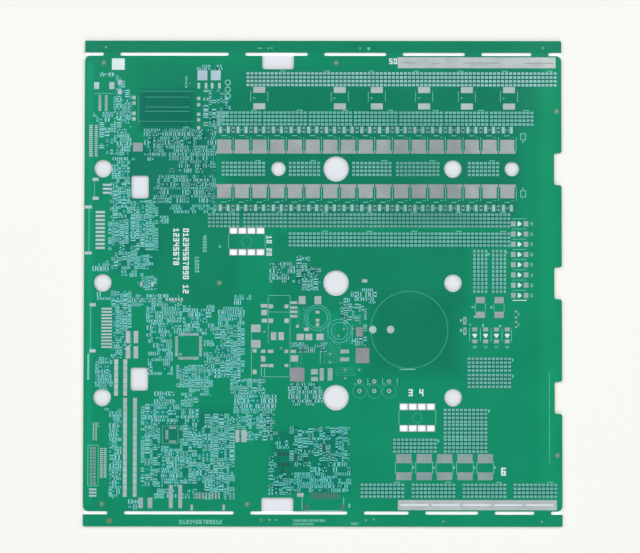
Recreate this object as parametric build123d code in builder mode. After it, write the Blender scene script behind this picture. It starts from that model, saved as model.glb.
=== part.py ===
from build123d import *
import os

os.makedirs("parts", exist_ok=True)

# Bare circuit board of a battery management unit, in its delivery panel.
# X runs to the right, Y up the board, Z out of the component side.
# The panel lies on the lands of its underside, at Z = 0, with its middle over the origin.

# ---------------------------------------------------------------- sheet
laminate_thickness = 1.6      # glass-epoxy with its green mask
land_thickness = 0.1          # copper and tin, proud of the mask on both sides
rail_height = 7.5             # breakaway rail along the top and along the bottom
router_width = 2.0            # slot that frees the board from its rails
tab_width = 10.5              # bridge left between two routed slots
rail_corner_radius = 1.0
board_corner_radius = 3.5     # board corners beside the open slots

# ---------------------------------------------------------------- power half: repeats
transistor_count = 17
transistor_pitch = 11.125
tab_land_width = 8.85
tab_land_height = 8.8
tab_foot_width = 10.4         # wide foot of a tab land, towards the middle row
tab_foot_height = 1.8
lead_land_width = 1.9
lead_land_height = 4.2
lead_spacing = 5.08           # outer leads of a surface-mounted power transistor

window_pitch_long = 2.54      # solder windows along a field
window_pitch_short = 2.45     # and across it
window_length = 1.9
window_height = 1.55
window_columns = 11
window_rows = 4
field_gap = 0.7               # between two fields of one row

# ---------------------------------------------------------------- power half: rows, top to bottom
edge_margin = 0.85            # bus strip to the routed edge
supply_bus_height = 6.9
output_bus_height = 6.3
bus_gap = 2.6                 # supply bus to window row A
precharge_land_width = 7.5
precharge_land_height = 3.8
precharge_span = 10.4         # centre to centre of one resistor's two lands
precharge_gap = 0.4           # window row A to the lands below it
row_b_gap = 1.3
lead_gap = 0.7                # window row B to the upper lead lands
lead_to_tab = 4.0             # lead lands to their tab land
middle_gap = 5.2              # tab lands to the middle row, on both sides
row_c_gap = 1.3
row_d_gap = 3.1
column_gap = 1.8              # window row D to the standing fields
pair_gap = 2.5                # standing fields to the snubber lands
snubber_land_width = 5.8
snubber_land_height = 3.9
snubber_span = 9.2
diode_gap = 6.0
diode_land_width = 3.1
diode_land_height = 2.4
diode_span = 7.5              # the two lands of one diode
field_pair_gap = 8.9
double_gap = 1.3              # between the two fields of a pair
hole_gap_above = 0.65         # field pair to the mounting hole below it
hole_gap_below = 1.35         # mounting hole to the stack of fields
stack_gap = 0.4
shunt_gap = 0.8
shunt_land_width = 9.6
shunt_upper_height = 5.7
shunt_lower_height = 4.9
shunt_inner_gap = 5.7
output_row_gap = 2.1
output_bus_gap = 1.4

# ---------------------------------------------------------------- across the board
logic_width = 82.3            # left edge to the first transistor
edge_copper_width = 28.575    # last transistor to the right edge
bus_inset = 3.6               # bus strips to the right edge

# ---------------------------------------------------------------- holes, windows, notches
mounting_hole_diameter = 11.0
large_hole_diameter = 16.0
small_hole_diameter = 9.0
mounting_hole_inset = 11.8    # left column of holes to the left edge
hole_column_far = 149.35      # right column of mounting holes, from the first transistor
cooling_column = 75.95        # column of large holes, from the first transistor
small_hole_offsets = [39.65, 186.45]
strap_window_width = 10.9
strap_window_height = 14.3
strap_window_radius = 1.5
strap_window_inset = 35.0     # centre to the left edge
strap_window_shift = 11.5     # centre to the nearest row of mounting holes
connector_cutout_width = 19.9
connector_cutout_depth = 9.0
connector_cutout_radius = 1.5
connector_cutout_offset = 39.3
notch_depth = 4.7
notch_height = 20.0
notch_radius = 1.5

# ---------------------------------------------------------------- plated holes and slots
terminal_slot_width = 4.6
terminal_slot_height = 3.5
terminal_pitch = 5.65
terminal_columns = 4
terminal_row_spacing = 13.5
terminal_ring = 0.35          # land round a terminal slot
plating = 0.15
header_pitch = 2.0
header_columns = 2
header_rows = 12
header_land_radius = 0.75
header_hole_radius = 0.45
through_land_radius = 1.35    # capacitor, coil and relay lands
through_hole_radius = 0.65
bus_slot_length = 18.3
bus_slot_width = 1.2
bus_slot_count = 5
bus_slot_bridge = 1.3         # copper left between two slots of the output strip
bus_end_margin = 1.35         # copper beyond its first and last slots

# ---------------------------------------------------------------- window fields, across
row_a_count = 7
row_a_inset = 3.0             # last field of row A to the right edge
row_b_count = 7
row_b_inset = 1.5             # first transistor to the first field of row B
row_b_field_gap = 1.25
row_c_count = 5
row_c_inset = 46.1            # first transistor to the run of rows C and D
row_c_full_offset = 31.2      # centres of the two fields left of that run
row_c_short_offset = 5.2
row_c_short_columns = 8
output_row_count = 4
output_row_inset = 3.3
output_row_field_gap = 4.6
middle_fields = [(17.6, 11), (56.0, 8), (98.35, 10), (127.25, 11), (168.55, 8)]
field_pair_offset = 22.7      # from the right column of holes, as are the next two
stack_offset = 7.7
side_field_offset = 24.0
stack_count = 3

# ---------------------------------------------------------------- two-land parts, across
precharge_offsets = [27.5, 78.2, 101.5, 131.3, 158.2, 184.7]
shunt_count = 5
shunt_pitch = 12.75
shunt_offset = 5.4            # middle shunt, left of the right column of holes
snubber_offset = 23.0
snubber_pitch = 11.75         # the standing fields share it
diode_row_count = 4
diode_row_pitch = 6.8
diode_row_offset = 23.8
diode_column_count = 8
diode_column_pitch = 6.42
diode_column_rise = 14.88     # middle of the column, above the middle row of holes
diode_column_inset = 26.5
diode_column_span = 8.0
diode_column_land_width = 2.9
diode_column_land_height = 3.2

# ---------------------------------------------------------------- logic half
balance_insets = [20.5, 26.2, 32.4]
balance_pitch = 3.9
balance_land_width = 2.4
balance_land_height = 3.3
balance_short_count = 6
balance_short_rise = 12.45
balance_long_count = 16
balance_gap = 1.3             # short columns to the long ones below them
relay_driver_inset = 30.3
relay_driver_span = 5.0
relay_driver_drop = 38.8
relay_driver_pitch = 9.6
relay_driver_land_width = 2.8
relay_driver_land_height = 7.6

wide_pitch = 2.5              # lead pitch of the larger connectors
cell_connector_ways = 10
cell_connector_rise = 33.2
cell_lead_inset = 10.1
cell_lead_land = (5.8, 1.4)
cell_ear_inset = 2.6
cell_ear_span = 28.9
cell_ear_land = (4.5, 1.9)
pack_connector_ways = 13
pack_connector_drop = 28.2
pack_lead_inset = 14.4
pack_lead_land = (6.6, 1.1)
pack_ear_inset = 5.6
plain_ear_land = (3.8, 2.0)
sensor_connector_ways = 3
sensor_connector_drop = 12.7
sensor_lead_land = (5.5, 1.3)
sensor_ear_inset = 7.1
sensor_ear_span = 11.9
display_connector_ways = 8
display_connector_gap = 5.2   # long fuse to the nearer ear
service_connector_ways = 9
service_connector_offset = 69.1
bottom_lead_rise = 9.7
bottom_lead_land = (1.0, 4.0)
bottom_ear_rise = 2.4
bottom_ear_land = (1.6, 3.7)
bottom_ear_reach = 3.0        # outer lead to its ear
probe_ways = 3
probe_rise = 11.6
probe_land = (4.6, 1.1)

fine_pitch = 1.27             # small packages and the double column of the signal connector
fine_land_height = 0.7
fine_land_length = 1.8
signal_ways = 16
signal_rise = 17.6
signal_outer_inset = 4.0
signal_outer_width = 2.2
signal_inner_inset = 7.3
isolator_ways = 15
isolator_rise = 30.2
isolator_inset = 11.5
isolator_span = 2.3
memory_ways = 14
memory_rise = 49.7
memory_inset = 6.5
memory_span = 1.6
memory_land_length = 0.9

driver_offset = 4.1           # middle of the two drivers, left of the first transistor
driver_pitch = 8.4
driver_tab_drop = 12.4
driver_tab_land = (6.2, 6.3)
driver_lead_drop = 19.0
driver_lead_spacing = 4.57
driver_lead_land = (1.6, 3.6)
filter_choke_inset = 12.2
filter_choke_drop = 19.0
filter_choke_span = 9.6
filter_choke_land = (3.2, 4.4)
filter_capacitor_inset = 22.0
filter_capacitor_drop = 20.0
filter_capacitor_span = 6.0
filter_capacitor_land = (2.5, 2.9)
filter_package_inset = 11.5
filter_package_drop = 30.0
filter_package_span = 4.0
filter_package_ways = 8
shield_clip_inset = 33.5
shield_clip_drop = 57.8
shield_clip_land = (6.0, 5.5)

controller_inset = 65.8
controller_drop = 39.7
controller_leads = 16
controller_lead_pitch = 0.8
controller_span = 15.0        # centre to centre of opposite rows of lands
controller_land_width = 0.5
controller_land_length = 1.8
long_fuse_inset = 57.95
long_fuse_rise = 9.2
long_fuse_land = (2.4, 14.6)
short_fuse_inset = 39.05
short_fuse_rise = 5.2
short_fuse_land = (2.9, 6.6)
fuse_span = 5.9

# ---------------------------------------------------------------- converter, from the large holes
coil_offset = 28.6
coil_pin_spacing = 11.2
coil_drop = 29.1
capacitor_count = 3
capacitor_offset = 24.0
capacitor_pitch = 9.3
capacitor_rise = 10.2
capacitor_lead_spacing = 6.0
relay_offset = 35.9
relay_column_spacing = 9.45
relay_drop = 14.7
relay_row_spacing = 9.0
inductor_lands = [(24.3, 14.4, 9.0, 8.6), (-16.6, 26.4, 8.4, 9.5), (-14.6, 41.2, 4.3, 6.0)]
converter_drop = 33.3
converter_coil_offset = 50.3
converter_coil_span = 9.7
converter_coil_land = (5.9, 4.8)
converter_capacitor_offset = 36.8
converter_capacitor_span = 4.8
converter_capacitor_land = (3.4, 5.0)
converter_diode_offsets = [22.5, 17.1, 10.1]
converter_diode_drop = 33.8
converter_diode_land = (4.5, 4.0)
converter_fuse_offset = 16.35
converter_fuse_span = 9.9
converter_fuse_drop = 10.7
converter_fuse_land = (4.2, 5.0)
sense_rise = 14.4
sense_span = 5.0
sense_resistor_offset = 6.45
sense_resistor_land = (2.6, 7.4)
sense_filter_offset = 13.5
sense_filter_land = (4.3, 2.1)
sense_diode_offset = 5.2
sense_diode_rise = 26.45
sense_diode_land = (5.0, 2.4)

# ---------------------------------------------------------------- terminals and header, places
battery_terminal_offset = 19.9
battery_terminal_rise = 26.1
load_terminal_offset = 126.9
load_terminal_drop = 12.4
header_inset = 6.2
header_rise = 28.3

# ---------------------------------------------------------------- rail tabs, from the left edge
upper_tabs = [17.0, 95.75, 145.5, 195.0, 244.5, 286.5]
lower_tabs = [20.5, 99.5, 170.6, 209.0, 252.5, 287.6]

# ---------------------------------------------------------------- marks and underside
fiducial_radius = 1.0
mark_inset = 11.85
mark_drop = 4.5
mark_offset = 20.5
transistor_mark_offset = 2.7
edge_mark_inset = 3.1
edge_mark_drop = 35.0
legend_block_width = 8.1
legend_block_height = 7.2
legend_thickness = 0.05
ground_land_inset = 21.0
ground_land_drop = 5.4
ground_land_width = 12.0
ground_land_height = 5.0

# ================================================================ worked-out places
lower_face = land_thickness
upper_face = land_thickness + laminate_thickness
panel_width = logic_width + transistor_count * transistor_pitch + edge_copper_width
left_edge = -panel_width / 2
right_edge = panel_width / 2
first_transistor = left_edge + logic_width
transistor_centre = first_transistor + transistor_count * transistor_pitch / 2

field_length = (window_columns - 1) * window_pitch_long + window_length
field_height = (window_rows - 1) * window_pitch_short + window_height
mounting_radius = mounting_hole_diameter / 2
terminal_outer_width = terminal_slot_width + 2 * plating
terminal_outer_height = terminal_slot_height + 2 * plating

# The rows of the power half, measured down from the board's top edge.
supply_bus_drop = edge_margin + supply_bus_height / 2
row_a_drop = supply_bus_drop + supply_bus_height / 2 + bus_gap + field_height / 2
precharge_upper_drop = row_a_drop + field_height / 2 + precharge_gap + precharge_land_height / 2
precharge_lower_drop = precharge_upper_drop + precharge_span
row_b_drop = precharge_lower_drop + precharge_land_height / 2 + row_b_gap + field_height / 2
upper_lead_drop = row_b_drop + field_height / 2 + lead_gap + lead_land_height / 2
upper_tab_drop = upper_lead_drop + (lead_land_height + tab_land_height) / 2 + lead_to_tab
middle_drop = upper_tab_drop + tab_land_height / 2 + middle_gap + field_height / 2
lower_tab_drop = 2 * middle_drop - upper_tab_drop
lower_lead_drop = 2 * middle_drop - upper_lead_drop
row_c_drop = lower_lead_drop + lead_land_height / 2 + row_c_gap + field_height / 2
row_d_drop = row_c_drop + field_height + row_d_gap
column_drop = row_d_drop + (field_height + field_length) / 2 + column_gap
snubber_upper_drop = column_drop + field_length / 2 + pair_gap + snubber_land_height / 2
snubber_lower_drop = snubber_upper_drop + snubber_span
diode_upper_drop = snubber_lower_drop + (snubber_land_height + diode_land_height) / 2 + diode_gap
diode_lower_drop = diode_upper_drop + diode_span
pair_upper_drop = diode_lower_drop + (diode_land_height + field_height) / 2 + field_pair_gap
pair_lower_drop = pair_upper_drop + field_height + double_gap
low_hole_drop = pair_lower_drop + field_height / 2 + hole_gap_above + mounting_radius
stack_drop = low_hole_drop + mounting_radius + hole_gap_below + field_height / 2
stack_pitch = field_height + stack_gap
shunt_upper_drop = (stack_drop + 2 * stack_pitch + field_height / 2 + shunt_gap
                    + shunt_upper_height / 2)
shunt_lower_drop = (shunt_upper_drop + (shunt_upper_height + shunt_lower_height) / 2
                    + shunt_inner_gap)
output_row_drop = shunt_lower_drop + (shunt_lower_height + field_height) / 2 + output_row_gap
output_bus_drop = output_row_drop + (field_height + output_bus_height) / 2 + output_bus_gap
board_height = output_bus_drop + output_bus_height / 2 + edge_margin

board_top = board_height / 2
board_bottom = -board_height / 2
panel_height = board_height + 2 * (router_width + rail_height)

# Mounting holes stand in three level rows; the middle row halves the distance.
hole_rows = [board_top - middle_drop,
             board_top - (middle_drop + low_hole_drop) / 2,
             board_top - low_hole_drop]
hole_left = left_edge + mounting_hole_inset
hole_right = first_transistor + hole_column_far
cooling_x = first_transistor + cooling_column
small_hole_x = [first_transistor + offset for offset in small_hole_offsets]
cutout_x = first_transistor + connector_cutout_offset
bus_slot_pitch = bus_slot_length + bus_slot_bridge
bus_length = bus_slot_count * bus_slot_pitch - bus_slot_bridge + 2 * bus_end_margin
bus_x = right_edge - bus_inset - bus_length / 2
supply_bus_y = board_top - supply_bus_drop
output_bus_y = board_top - output_bus_drop
upper_plane = Plane.XY.offset(upper_face)


def row(x, y, count, pitch):
    """Places of a level row, centred on x and y."""
    return [(x + pitch * (i - (count - 1) / 2), y) for i in range(count)]


def column(x, y, count, pitch):
    """Places of an upright row, centred on x and y."""
    return [(x, y + pitch * (i - (count - 1) / 2)) for i in range(count)]


def row_of_fields(left, y, count, gap):
    """Centres of a level row of window fields that starts at left."""
    pitch = field_length + gap
    return row(left + (count * pitch - gap) / 2, y, count, pitch)


def copper_field(centre, columns=window_columns):
    """The copper bands that a level field shows through its solder windows."""
    length = (columns - 1) * window_pitch_long + window_length
    with Locations(centre):
        with GridLocations(0, window_pitch_short, 1, window_rows):
            Rectangle(length, window_height)


def eight_sided(radius, spots, mode=Mode.ADD):
    """Discs that repeat often, so they have few sides."""
    with Locations(*spots):
        RegularPolygon(radius, 8, mode=mode)


def slot(length, width, mode=Mode.ADD):
    """A routed or plated slot, whose round ends have few sides because slots repeat."""
    Rectangle(length - width, width, mode=mode)
    with GridLocations(length - width, 0, 2, 1):
        RegularPolygon(width / 2, 8, major_radius=False, rotation=22.5, mode=mode)


def land_node(name, patterns, plane=upper_plane):
    """Write one node of flat lands. Each pattern gives its places, a width and a height."""
    with BuildPart() as lands:
        with BuildSketch(plane):
            for places, width, height in patterns:
                with Locations(*places):
                    Rectangle(width, height)
        extrude(amount=land_thickness)
    lands.part.label = name
    export_step(lands.part, f"parts/{name}.step")


def field_node(name, fields, plane=upper_plane):
    """Write one node of copper fields. Each field gives its centre and its columns."""
    with BuildPart() as copper:
        with BuildSketch(plane):
            for centre, columns in fields:
                copper_field(centre, columns)
        extrude(amount=land_thickness)
    copper.part.label = name
    export_step(copper.part, f"parts/{name}.step")


def barrel_node(name, spots, land_radius, hole_radius):
    """Write one node of plated holes, each lined from face to face with a land at both ends."""
    with BuildPart() as barrels:
        with BuildSketch(Plane.XY):
            eight_sided(land_radius, spots)
            eight_sided(hole_radius, spots, Mode.SUBTRACT)
        extrude(amount=upper_face + land_thickness)
    barrels.part.label = name
    export_step(barrels.part, f"parts/{name}.step")


# ================================================================ plated places, used twice
terminal_centres = {
    "battery_terminal_barrels": (first_transistor + battery_terminal_offset,
                                 hole_rows[1] + battery_terminal_rise),
    "load_terminal_barrels": (first_transistor + load_terminal_offset,
                              hole_rows[2] - load_terminal_drop)}
header_spots = [(left_edge + header_inset + header_pitch * (i - (header_columns - 1) / 2),
                 board_bottom + header_rise + header_pitch * (j - (header_rows - 1) / 2))
                for i in range(header_columns) for j in range(header_rows)]
coil_spots = row(cooling_x + coil_offset, hole_rows[1] - coil_drop, 2, coil_pin_spacing)
capacitor_spots = [spot for y in (hole_rows[2] + capacitor_rise,
                                  hole_rows[2] + capacitor_rise - capacitor_lead_spacing)
                   for spot in row(cooling_x + capacitor_offset, y, capacitor_count,
                                   capacitor_pitch)]
relay_spots = [spot for y in (hole_rows[1] - relay_drop, hole_rows[1] - relay_drop - relay_row_spacing)
               for spot in row(cooling_x - relay_offset, y, 2, relay_column_spacing)]
bus_slot_spots = row(bus_x, output_bus_y, bus_slot_count, bus_slot_pitch)

# ================================================================ laminate panel
with BuildPart() as panel:
    with BuildSketch(Plane.XY.offset(lower_face)) as panel_outline:
        RectangleRounded(panel_width, panel_height, rail_corner_radius)
        # Routed slots: a rounded slot between each two tabs, open at both ends of the panel.
        for slot_y, tabs in ((board_top + router_width / 2, upper_tabs),
                             (board_bottom - router_width / 2, lower_tabs)):
            tab_spots = [left_edge + spot for spot in tabs]
            starts = [left_edge - tab_width] + [x + tab_width / 2 for x in tab_spots]
            ends = [x - tab_width / 2 for x in tab_spots] + [right_edge + tab_width]
            for start, end in zip(starts, ends):
                with Locations(((start + end) / 2, slot_y)):
                    slot(end - start, router_width, Mode.SUBTRACT)
        # Connector cut-outs open into the slots.
        for side in (1, -1):
            cutout_y = side * (board_top + (router_width - connector_cutout_depth) / 2)
            with Locations((cutout_x, cutout_y)):
                RectangleRounded(connector_cutout_width, connector_cutout_depth + router_width / 2,
                                 connector_cutout_radius, mode=Mode.SUBTRACT)
        # Notches in the right edge, level with the holes.
        for notch_y in hole_rows:
            with Locations((right_edge, notch_y)):
                RectangleRounded(2 * notch_depth, notch_height, notch_radius, mode=Mode.SUBTRACT)
        # Straps pass through two windows beside the left column of holes.
        for window_y in (hole_rows[0] - strap_window_shift, hole_rows[2] + strap_window_shift):
            with Locations((left_edge + strap_window_inset, window_y)):
                RectangleRounded(strap_window_width, strap_window_height, strap_window_radius,
                                 mode=Mode.SUBTRACT)
        # Round holes.
        for hole_y in hole_rows:
            with Locations((hole_left, hole_y), (hole_right, hole_y)):
                Circle(mounting_radius, mode=Mode.SUBTRACT)
            with Locations((cooling_x, hole_y)):
                Circle(large_hole_diameter / 2, mode=Mode.SUBTRACT)
        with Locations(*[(x, hole_rows[0]) for x in small_hole_x]):
            Circle(small_hole_diameter / 2, mode=Mode.SUBTRACT)
        # Drillings for the plated holes and slots.
        for centre in terminal_centres.values():
            with Locations(centre):
                with GridLocations(terminal_pitch, terminal_row_spacing, terminal_columns, 2):
                    Rectangle(terminal_outer_width, terminal_outer_height, mode=Mode.SUBTRACT)
        eight_sided(header_land_radius, header_spots, Mode.SUBTRACT)
        eight_sided(through_land_radius, coil_spots + capacitor_spots + relay_spots, Mode.SUBTRACT)
        with Locations(*bus_slot_spots):
            slot(bus_slot_length + 2 * plating, bus_slot_width + 2 * plating, Mode.SUBTRACT)
        # Rounded board corners beside the open slots, and flared mouths of the notches.
        side_corners = [v for v in panel_outline.vertices()
                        if abs(abs(v.X) - panel_width / 2) < 0.01
                        and abs(abs(v.Y) - board_height / 2) < 0.01]
        fillet(side_corners, board_corner_radius)
        notch_corners = [v for v in panel_outline.vertices()
                         if abs(v.X - right_edge) < 0.01
                         and any(abs(abs(v.Y - y) - notch_height / 2) < 0.01 for y in hole_rows)]
        fillet(notch_corners, notch_radius)
    extrude(amount=laminate_thickness)
panel.part.label = "laminate_panel"
export_step(panel.part, "parts/laminate_panel.step")

# ================================================================ bus strips
supply_strip = [([(bus_x, supply_bus_y)], bus_length, supply_bus_height)]
land_node("supply_bus_strip", supply_strip)

# The output strip is one piece of copper: a land on each side, joined through plated slots.
with BuildPart() as output_bus:
    for face_height in (0, upper_face):
        with BuildSketch(Plane.XY.offset(face_height)):
            with Locations((bus_x, output_bus_y)):
                Rectangle(bus_length, output_bus_height)
        extrude(amount=land_thickness)
    with BuildSketch(Plane.XY.offset(lower_face)):
        with Locations(*bus_slot_spots):
            slot(bus_slot_length + 2 * plating, bus_slot_width + 2 * plating)
    extrude(amount=laminate_thickness)
    with BuildSketch(Plane.XY):
        with Locations(*bus_slot_spots):
            slot(bus_slot_length, bus_slot_width)
    extrude(amount=upper_face + land_thickness, mode=Mode.SUBTRACT)
output_bus.part.label = "output_bus_strip"
export_step(output_bus.part, "parts/output_bus_strip.step")

# ================================================================ transistor lands
for side, tab_drop, lead_drop in (("upper", upper_tab_drop, upper_lead_drop),
                                  ("lower", lower_tab_drop, lower_lead_drop)):
    towards_middle = -1 if side == "upper" else 1
    foot_shift = towards_middle * (tab_land_height - tab_foot_height) / 2
    tab_y = board_top - tab_drop
    land_node(f"{side}_tab_lands",
              [(row(transistor_centre, tab_y, transistor_count, transistor_pitch),
                tab_land_width, tab_land_height),
               (row(transistor_centre, tab_y + foot_shift, transistor_count, transistor_pitch),
                tab_foot_width, tab_foot_height)])
    lead_rows = [row(transistor_centre + shift, board_top - lead_drop, transistor_count,
                     transistor_pitch)
                 for shift in (-lead_spacing / 2, lead_spacing / 2)]
    land_node(f"{side}_lead_lands",
              [(places, lead_land_width, lead_land_height) for places in lead_rows])

# ================================================================ copper under the solder windows
row_a_left = right_edge - row_a_inset - row_a_count * (field_length + field_gap) + field_gap
output_row_left = (right_edge - output_row_inset
                   - output_row_count * (field_length + output_row_field_gap)
                   + output_row_field_gap)
row_a_fields = row_of_fields(row_a_left, board_top - row_a_drop, row_a_count, field_gap)
row_c_y = board_top - row_c_drop
stack_y = [board_top - stack_drop - stack_pitch * i for i in range(stack_count)]
full_fields = {
    "window_row_a": row_a_fields,
    "window_row_b": row_of_fields(first_transistor + row_b_inset, board_top - row_b_drop,
                                  row_b_count, row_b_field_gap),
    "window_row_d": row_of_fields(first_transistor + row_c_inset, board_top - row_d_drop,
                                  row_c_count, field_gap),
    "window_row_output": row_of_fields(output_row_left, board_top - output_row_drop,
                                       output_row_count, output_row_field_gap),
    "window_field_pair": [(hole_right + field_pair_offset, board_top - pair_upper_drop),
                          (hole_right + field_pair_offset, board_top - pair_lower_drop)],
    "window_field_stack": [(hole_right + stack_offset, y) for y in stack_y]
                          + [(hole_right - side_field_offset, stack_y[-1])],
}
for name, centres in full_fields.items():
    field_node(name, [(centre, window_columns) for centre in centres])

# Row C starts with two fields on its own to the left, the first of them short.
row_c_fields = row_of_fields(first_transistor + row_c_inset, row_c_y, row_c_count, field_gap)
field_node("window_row_c",
           [(centre, window_columns) for centre in row_c_fields]
           + [((first_transistor + row_c_full_offset, row_c_y), window_columns),
              ((first_transistor + row_c_short_offset, row_c_y), row_c_short_columns)])

# The middle row fills the spaces between the holes, so its fields have different lengths.
field_node("window_row_middle",
           [((first_transistor + offset, hole_rows[0]), columns)
            for offset, columns in middle_fields])

# Two fields stand upright beside the diode column.
standing_x = hole_right + snubber_offset
with BuildPart() as standing_fields:
    with BuildSketch(upper_plane):
        for place in row(standing_x, board_top - column_drop, 2, snubber_pitch):
            with Locations(place):
                with GridLocations(window_pitch_short, 0, window_rows, 1):
                    Rectangle(window_height, field_length)
    extrude(amount=land_thickness)
standing_fields.part.label = "window_column_fields"
export_step(standing_fields.part, "parts/window_column_fields.step")

# ================================================================ power half: two-land parts
precharge_x = [first_transistor + offset for offset in precharge_offsets]
land_node("precharge_lands",
          [([(x, board_top - drop) for x in precharge_x],
            precharge_land_width, precharge_land_height)
           for drop in (precharge_upper_drop, precharge_lower_drop)])

land_node("shunt_lands",
          [(row(hole_right - shunt_offset, board_top - drop, shunt_count, shunt_pitch),
            shunt_land_width, height)
           for drop, height in ((shunt_upper_drop, shunt_upper_height),
                                (shunt_lower_drop, shunt_lower_height))])

land_node("snubber_lands",
          [(row(standing_x, board_top - drop, 2, snubber_pitch),
            snubber_land_width, snubber_land_height)
           for drop in (snubber_upper_drop, snubber_lower_drop)])

land_node("diode_row_lands",
          [(row(hole_right + diode_row_offset, board_top - drop, diode_row_count,
                diode_row_pitch),
            diode_land_width, diode_land_height)
           for drop in (diode_upper_drop, diode_lower_drop)])

land_node("diode_column_lands",
          [(column(x, hole_rows[1] + diode_column_rise, diode_column_count, diode_column_pitch),
            diode_column_land_width, diode_column_land_height)
           for x in (right_edge - diode_column_inset - diode_column_span / 2,
                     right_edge - diode_column_inset + diode_column_span / 2)])

# ================================================================ logic half: cell balancing
balance_x = [left_edge + inset for inset in balance_insets]
balance_short_y = hole_rows[2] + balance_short_rise
balance_short_half = ((balance_short_count - 1) * balance_pitch + balance_land_height) / 2
balance_long_half = ((balance_long_count - 1) * balance_pitch + balance_land_height) / 2
balance_long_y = balance_short_y - balance_short_half - balance_gap - balance_long_half
for name, columns, y, count in (
        ("balance_lands_short", balance_x[:2], balance_short_y, balance_short_count),
        ("balance_lands_long", balance_x[1:], balance_long_y, balance_long_count)):
    land_node(name, [(column(x, y, count, balance_pitch), balance_land_width,
                      balance_land_height) for x in columns])

land_node("relay_driver_lands",
          [(row(left_edge + relay_driver_inset, y, 2, relay_driver_span),
            relay_driver_land_width, relay_driver_land_height)
           for _, y in column(0, hole_rows[1] - relay_driver_drop, 2, relay_driver_pitch)])

# ================================================================ logic half: connectors
# Each stands at an edge: a line of leads, and two ears that hold its body, nearer the edge.
for name, y, ways, pitch, inset, lead, ear_span, ear_inset, ear in (
        ("cell_connector_lands", hole_rows[1] + cell_connector_rise, cell_connector_ways,
         wide_pitch, cell_lead_inset, cell_lead_land, cell_ear_span, cell_ear_inset,
         cell_ear_land),
        ("pack_connector_lands", hole_rows[1] - pack_connector_drop, pack_connector_ways,
         header_pitch, pack_lead_inset, pack_lead_land, cell_ear_span, pack_ear_inset,
         plain_ear_land),
        ("sensor_connector_lands", hole_rows[0] - sensor_connector_drop,
         sensor_connector_ways, wide_pitch, pack_lead_inset, sensor_lead_land,
         sensor_ear_span, sensor_ear_inset, plain_ear_land)):
    land_node(name, [(column(left_edge + inset, y, ways, pitch), *lead),
                     (column(left_edge + ear_inset, y, 2, ear_span), *ear)])

display_connector_x = (left_edge + long_fuse_inset + (fuse_span + long_fuse_land[0]) / 2
                       + display_connector_gap + bottom_ear_land[0] / 2 + bottom_ear_reach
                       + (display_connector_ways - 1) * header_pitch / 2)
for name, x, ways in (
        ("display_connector_lands", display_connector_x, display_connector_ways),
        ("service_connector_lands", first_transistor + service_connector_offset,
         service_connector_ways)):
    ear_span = (ways - 1) * header_pitch + 2 * bottom_ear_reach
    land_node(name, [(row(x, board_bottom + bottom_lead_rise, ways, header_pitch),
                      *bottom_lead_land),
                     (row(x, board_bottom + bottom_ear_rise, 2, ear_span), *bottom_ear_land)])

land_node("signal_connector_lands",
          [(column(left_edge + inset, hole_rows[0] + signal_rise, signal_ways, fine_pitch),
            width, fine_land_height)
           for inset, width in ((signal_outer_inset, signal_outer_width),
                                (signal_inner_inset, fine_land_length))])

land_node("probe_connector_lands",
          [(column(left_edge + header_inset, board_bottom + probe_rise, probe_ways,
                   header_pitch), *probe_land)])

# ================================================================ logic half: small packages
land_node("isolator_lands",
          [(column(x, board_bottom + isolator_rise, isolator_ways, fine_pitch),
            fine_land_length, fine_land_height)
           for x in (left_edge + isolator_inset, left_edge + isolator_inset + isolator_span)])

land_node("memory_lands",
          [(column(x, board_bottom + memory_rise, memory_ways, controller_lead_pitch),
            memory_land_length, controller_land_width)
           for x in (left_edge + memory_inset, left_edge + memory_inset + memory_span)])

# Two transistors of the supply driver, each with a tab and two leads.
driver_tabs = row(first_transistor - driver_offset, board_top - driver_tab_drop, 2, driver_pitch)
land_node("supply_driver_lands",
          [(driver_tabs, *driver_tab_land)]
          + [(row(x, board_top - driver_lead_drop, 2, driver_lead_spacing), *driver_lead_land)
             for x, _ in driver_tabs])

land_node("input_filter_lands",
          [(row(left_edge + filter_choke_inset, board_top - filter_choke_drop, 2,
                filter_choke_span), *filter_choke_land),
           (column(left_edge + filter_capacitor_inset, board_top - filter_capacitor_drop, 2,
                   filter_capacitor_span), *filter_capacitor_land)]
          + [(column(x, board_top - filter_package_drop, filter_package_ways, fine_pitch),
              fine_land_length, fine_land_height)
             for x, _ in row(left_edge + filter_package_inset, 0, 2, filter_package_span)])

land_node("shield_clip_land",
          [([(left_edge + shield_clip_inset, board_top - shield_clip_drop)], *shield_clip_land)])

# ================================================================ converter, between the halves
land_node("power_inductor_lands",
          [([(cooling_x - offset, hole_rows[2] + rise)], width, height)
           for offset, rise, width, height in inductor_lands])

converter_y = hole_rows[1] - converter_drop
land_node("converter_lands",
          [(column(cooling_x - converter_coil_offset, converter_y, 2, converter_coil_span),
            *converter_coil_land),
           (row(cooling_x - converter_capacitor_offset, converter_y, 2,
                converter_capacitor_span), *converter_capacitor_land),
           ([(cooling_x - offset, hole_rows[1] - converter_diode_drop)
             for offset in converter_diode_offsets],
            *converter_diode_land),
           (row(cooling_x - converter_fuse_offset, hole_rows[1] - converter_fuse_drop, 2,
                converter_fuse_span), *converter_fuse_land)])

sense_y = hole_rows[2] + sense_rise
land_node("current_sense_lands",
          [(row(cooling_x - sense_resistor_offset, sense_y, 2, sense_span),
            *sense_resistor_land),
           (column(cooling_x - sense_filter_offset, sense_y, 2, sense_span),
            *sense_filter_land),
           (column(cooling_x + sense_diode_offset, hole_rows[2] + sense_diode_rise, 2,
                   sense_span), *sense_diode_land)])

land_node("fuse_lands",
          [(row(left_edge + long_fuse_inset, board_bottom + long_fuse_rise, 2, fuse_span),
            *long_fuse_land),
           (row(left_edge + short_fuse_inset, board_bottom + short_fuse_rise, 2, fuse_span),
            *short_fuse_land)])

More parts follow.
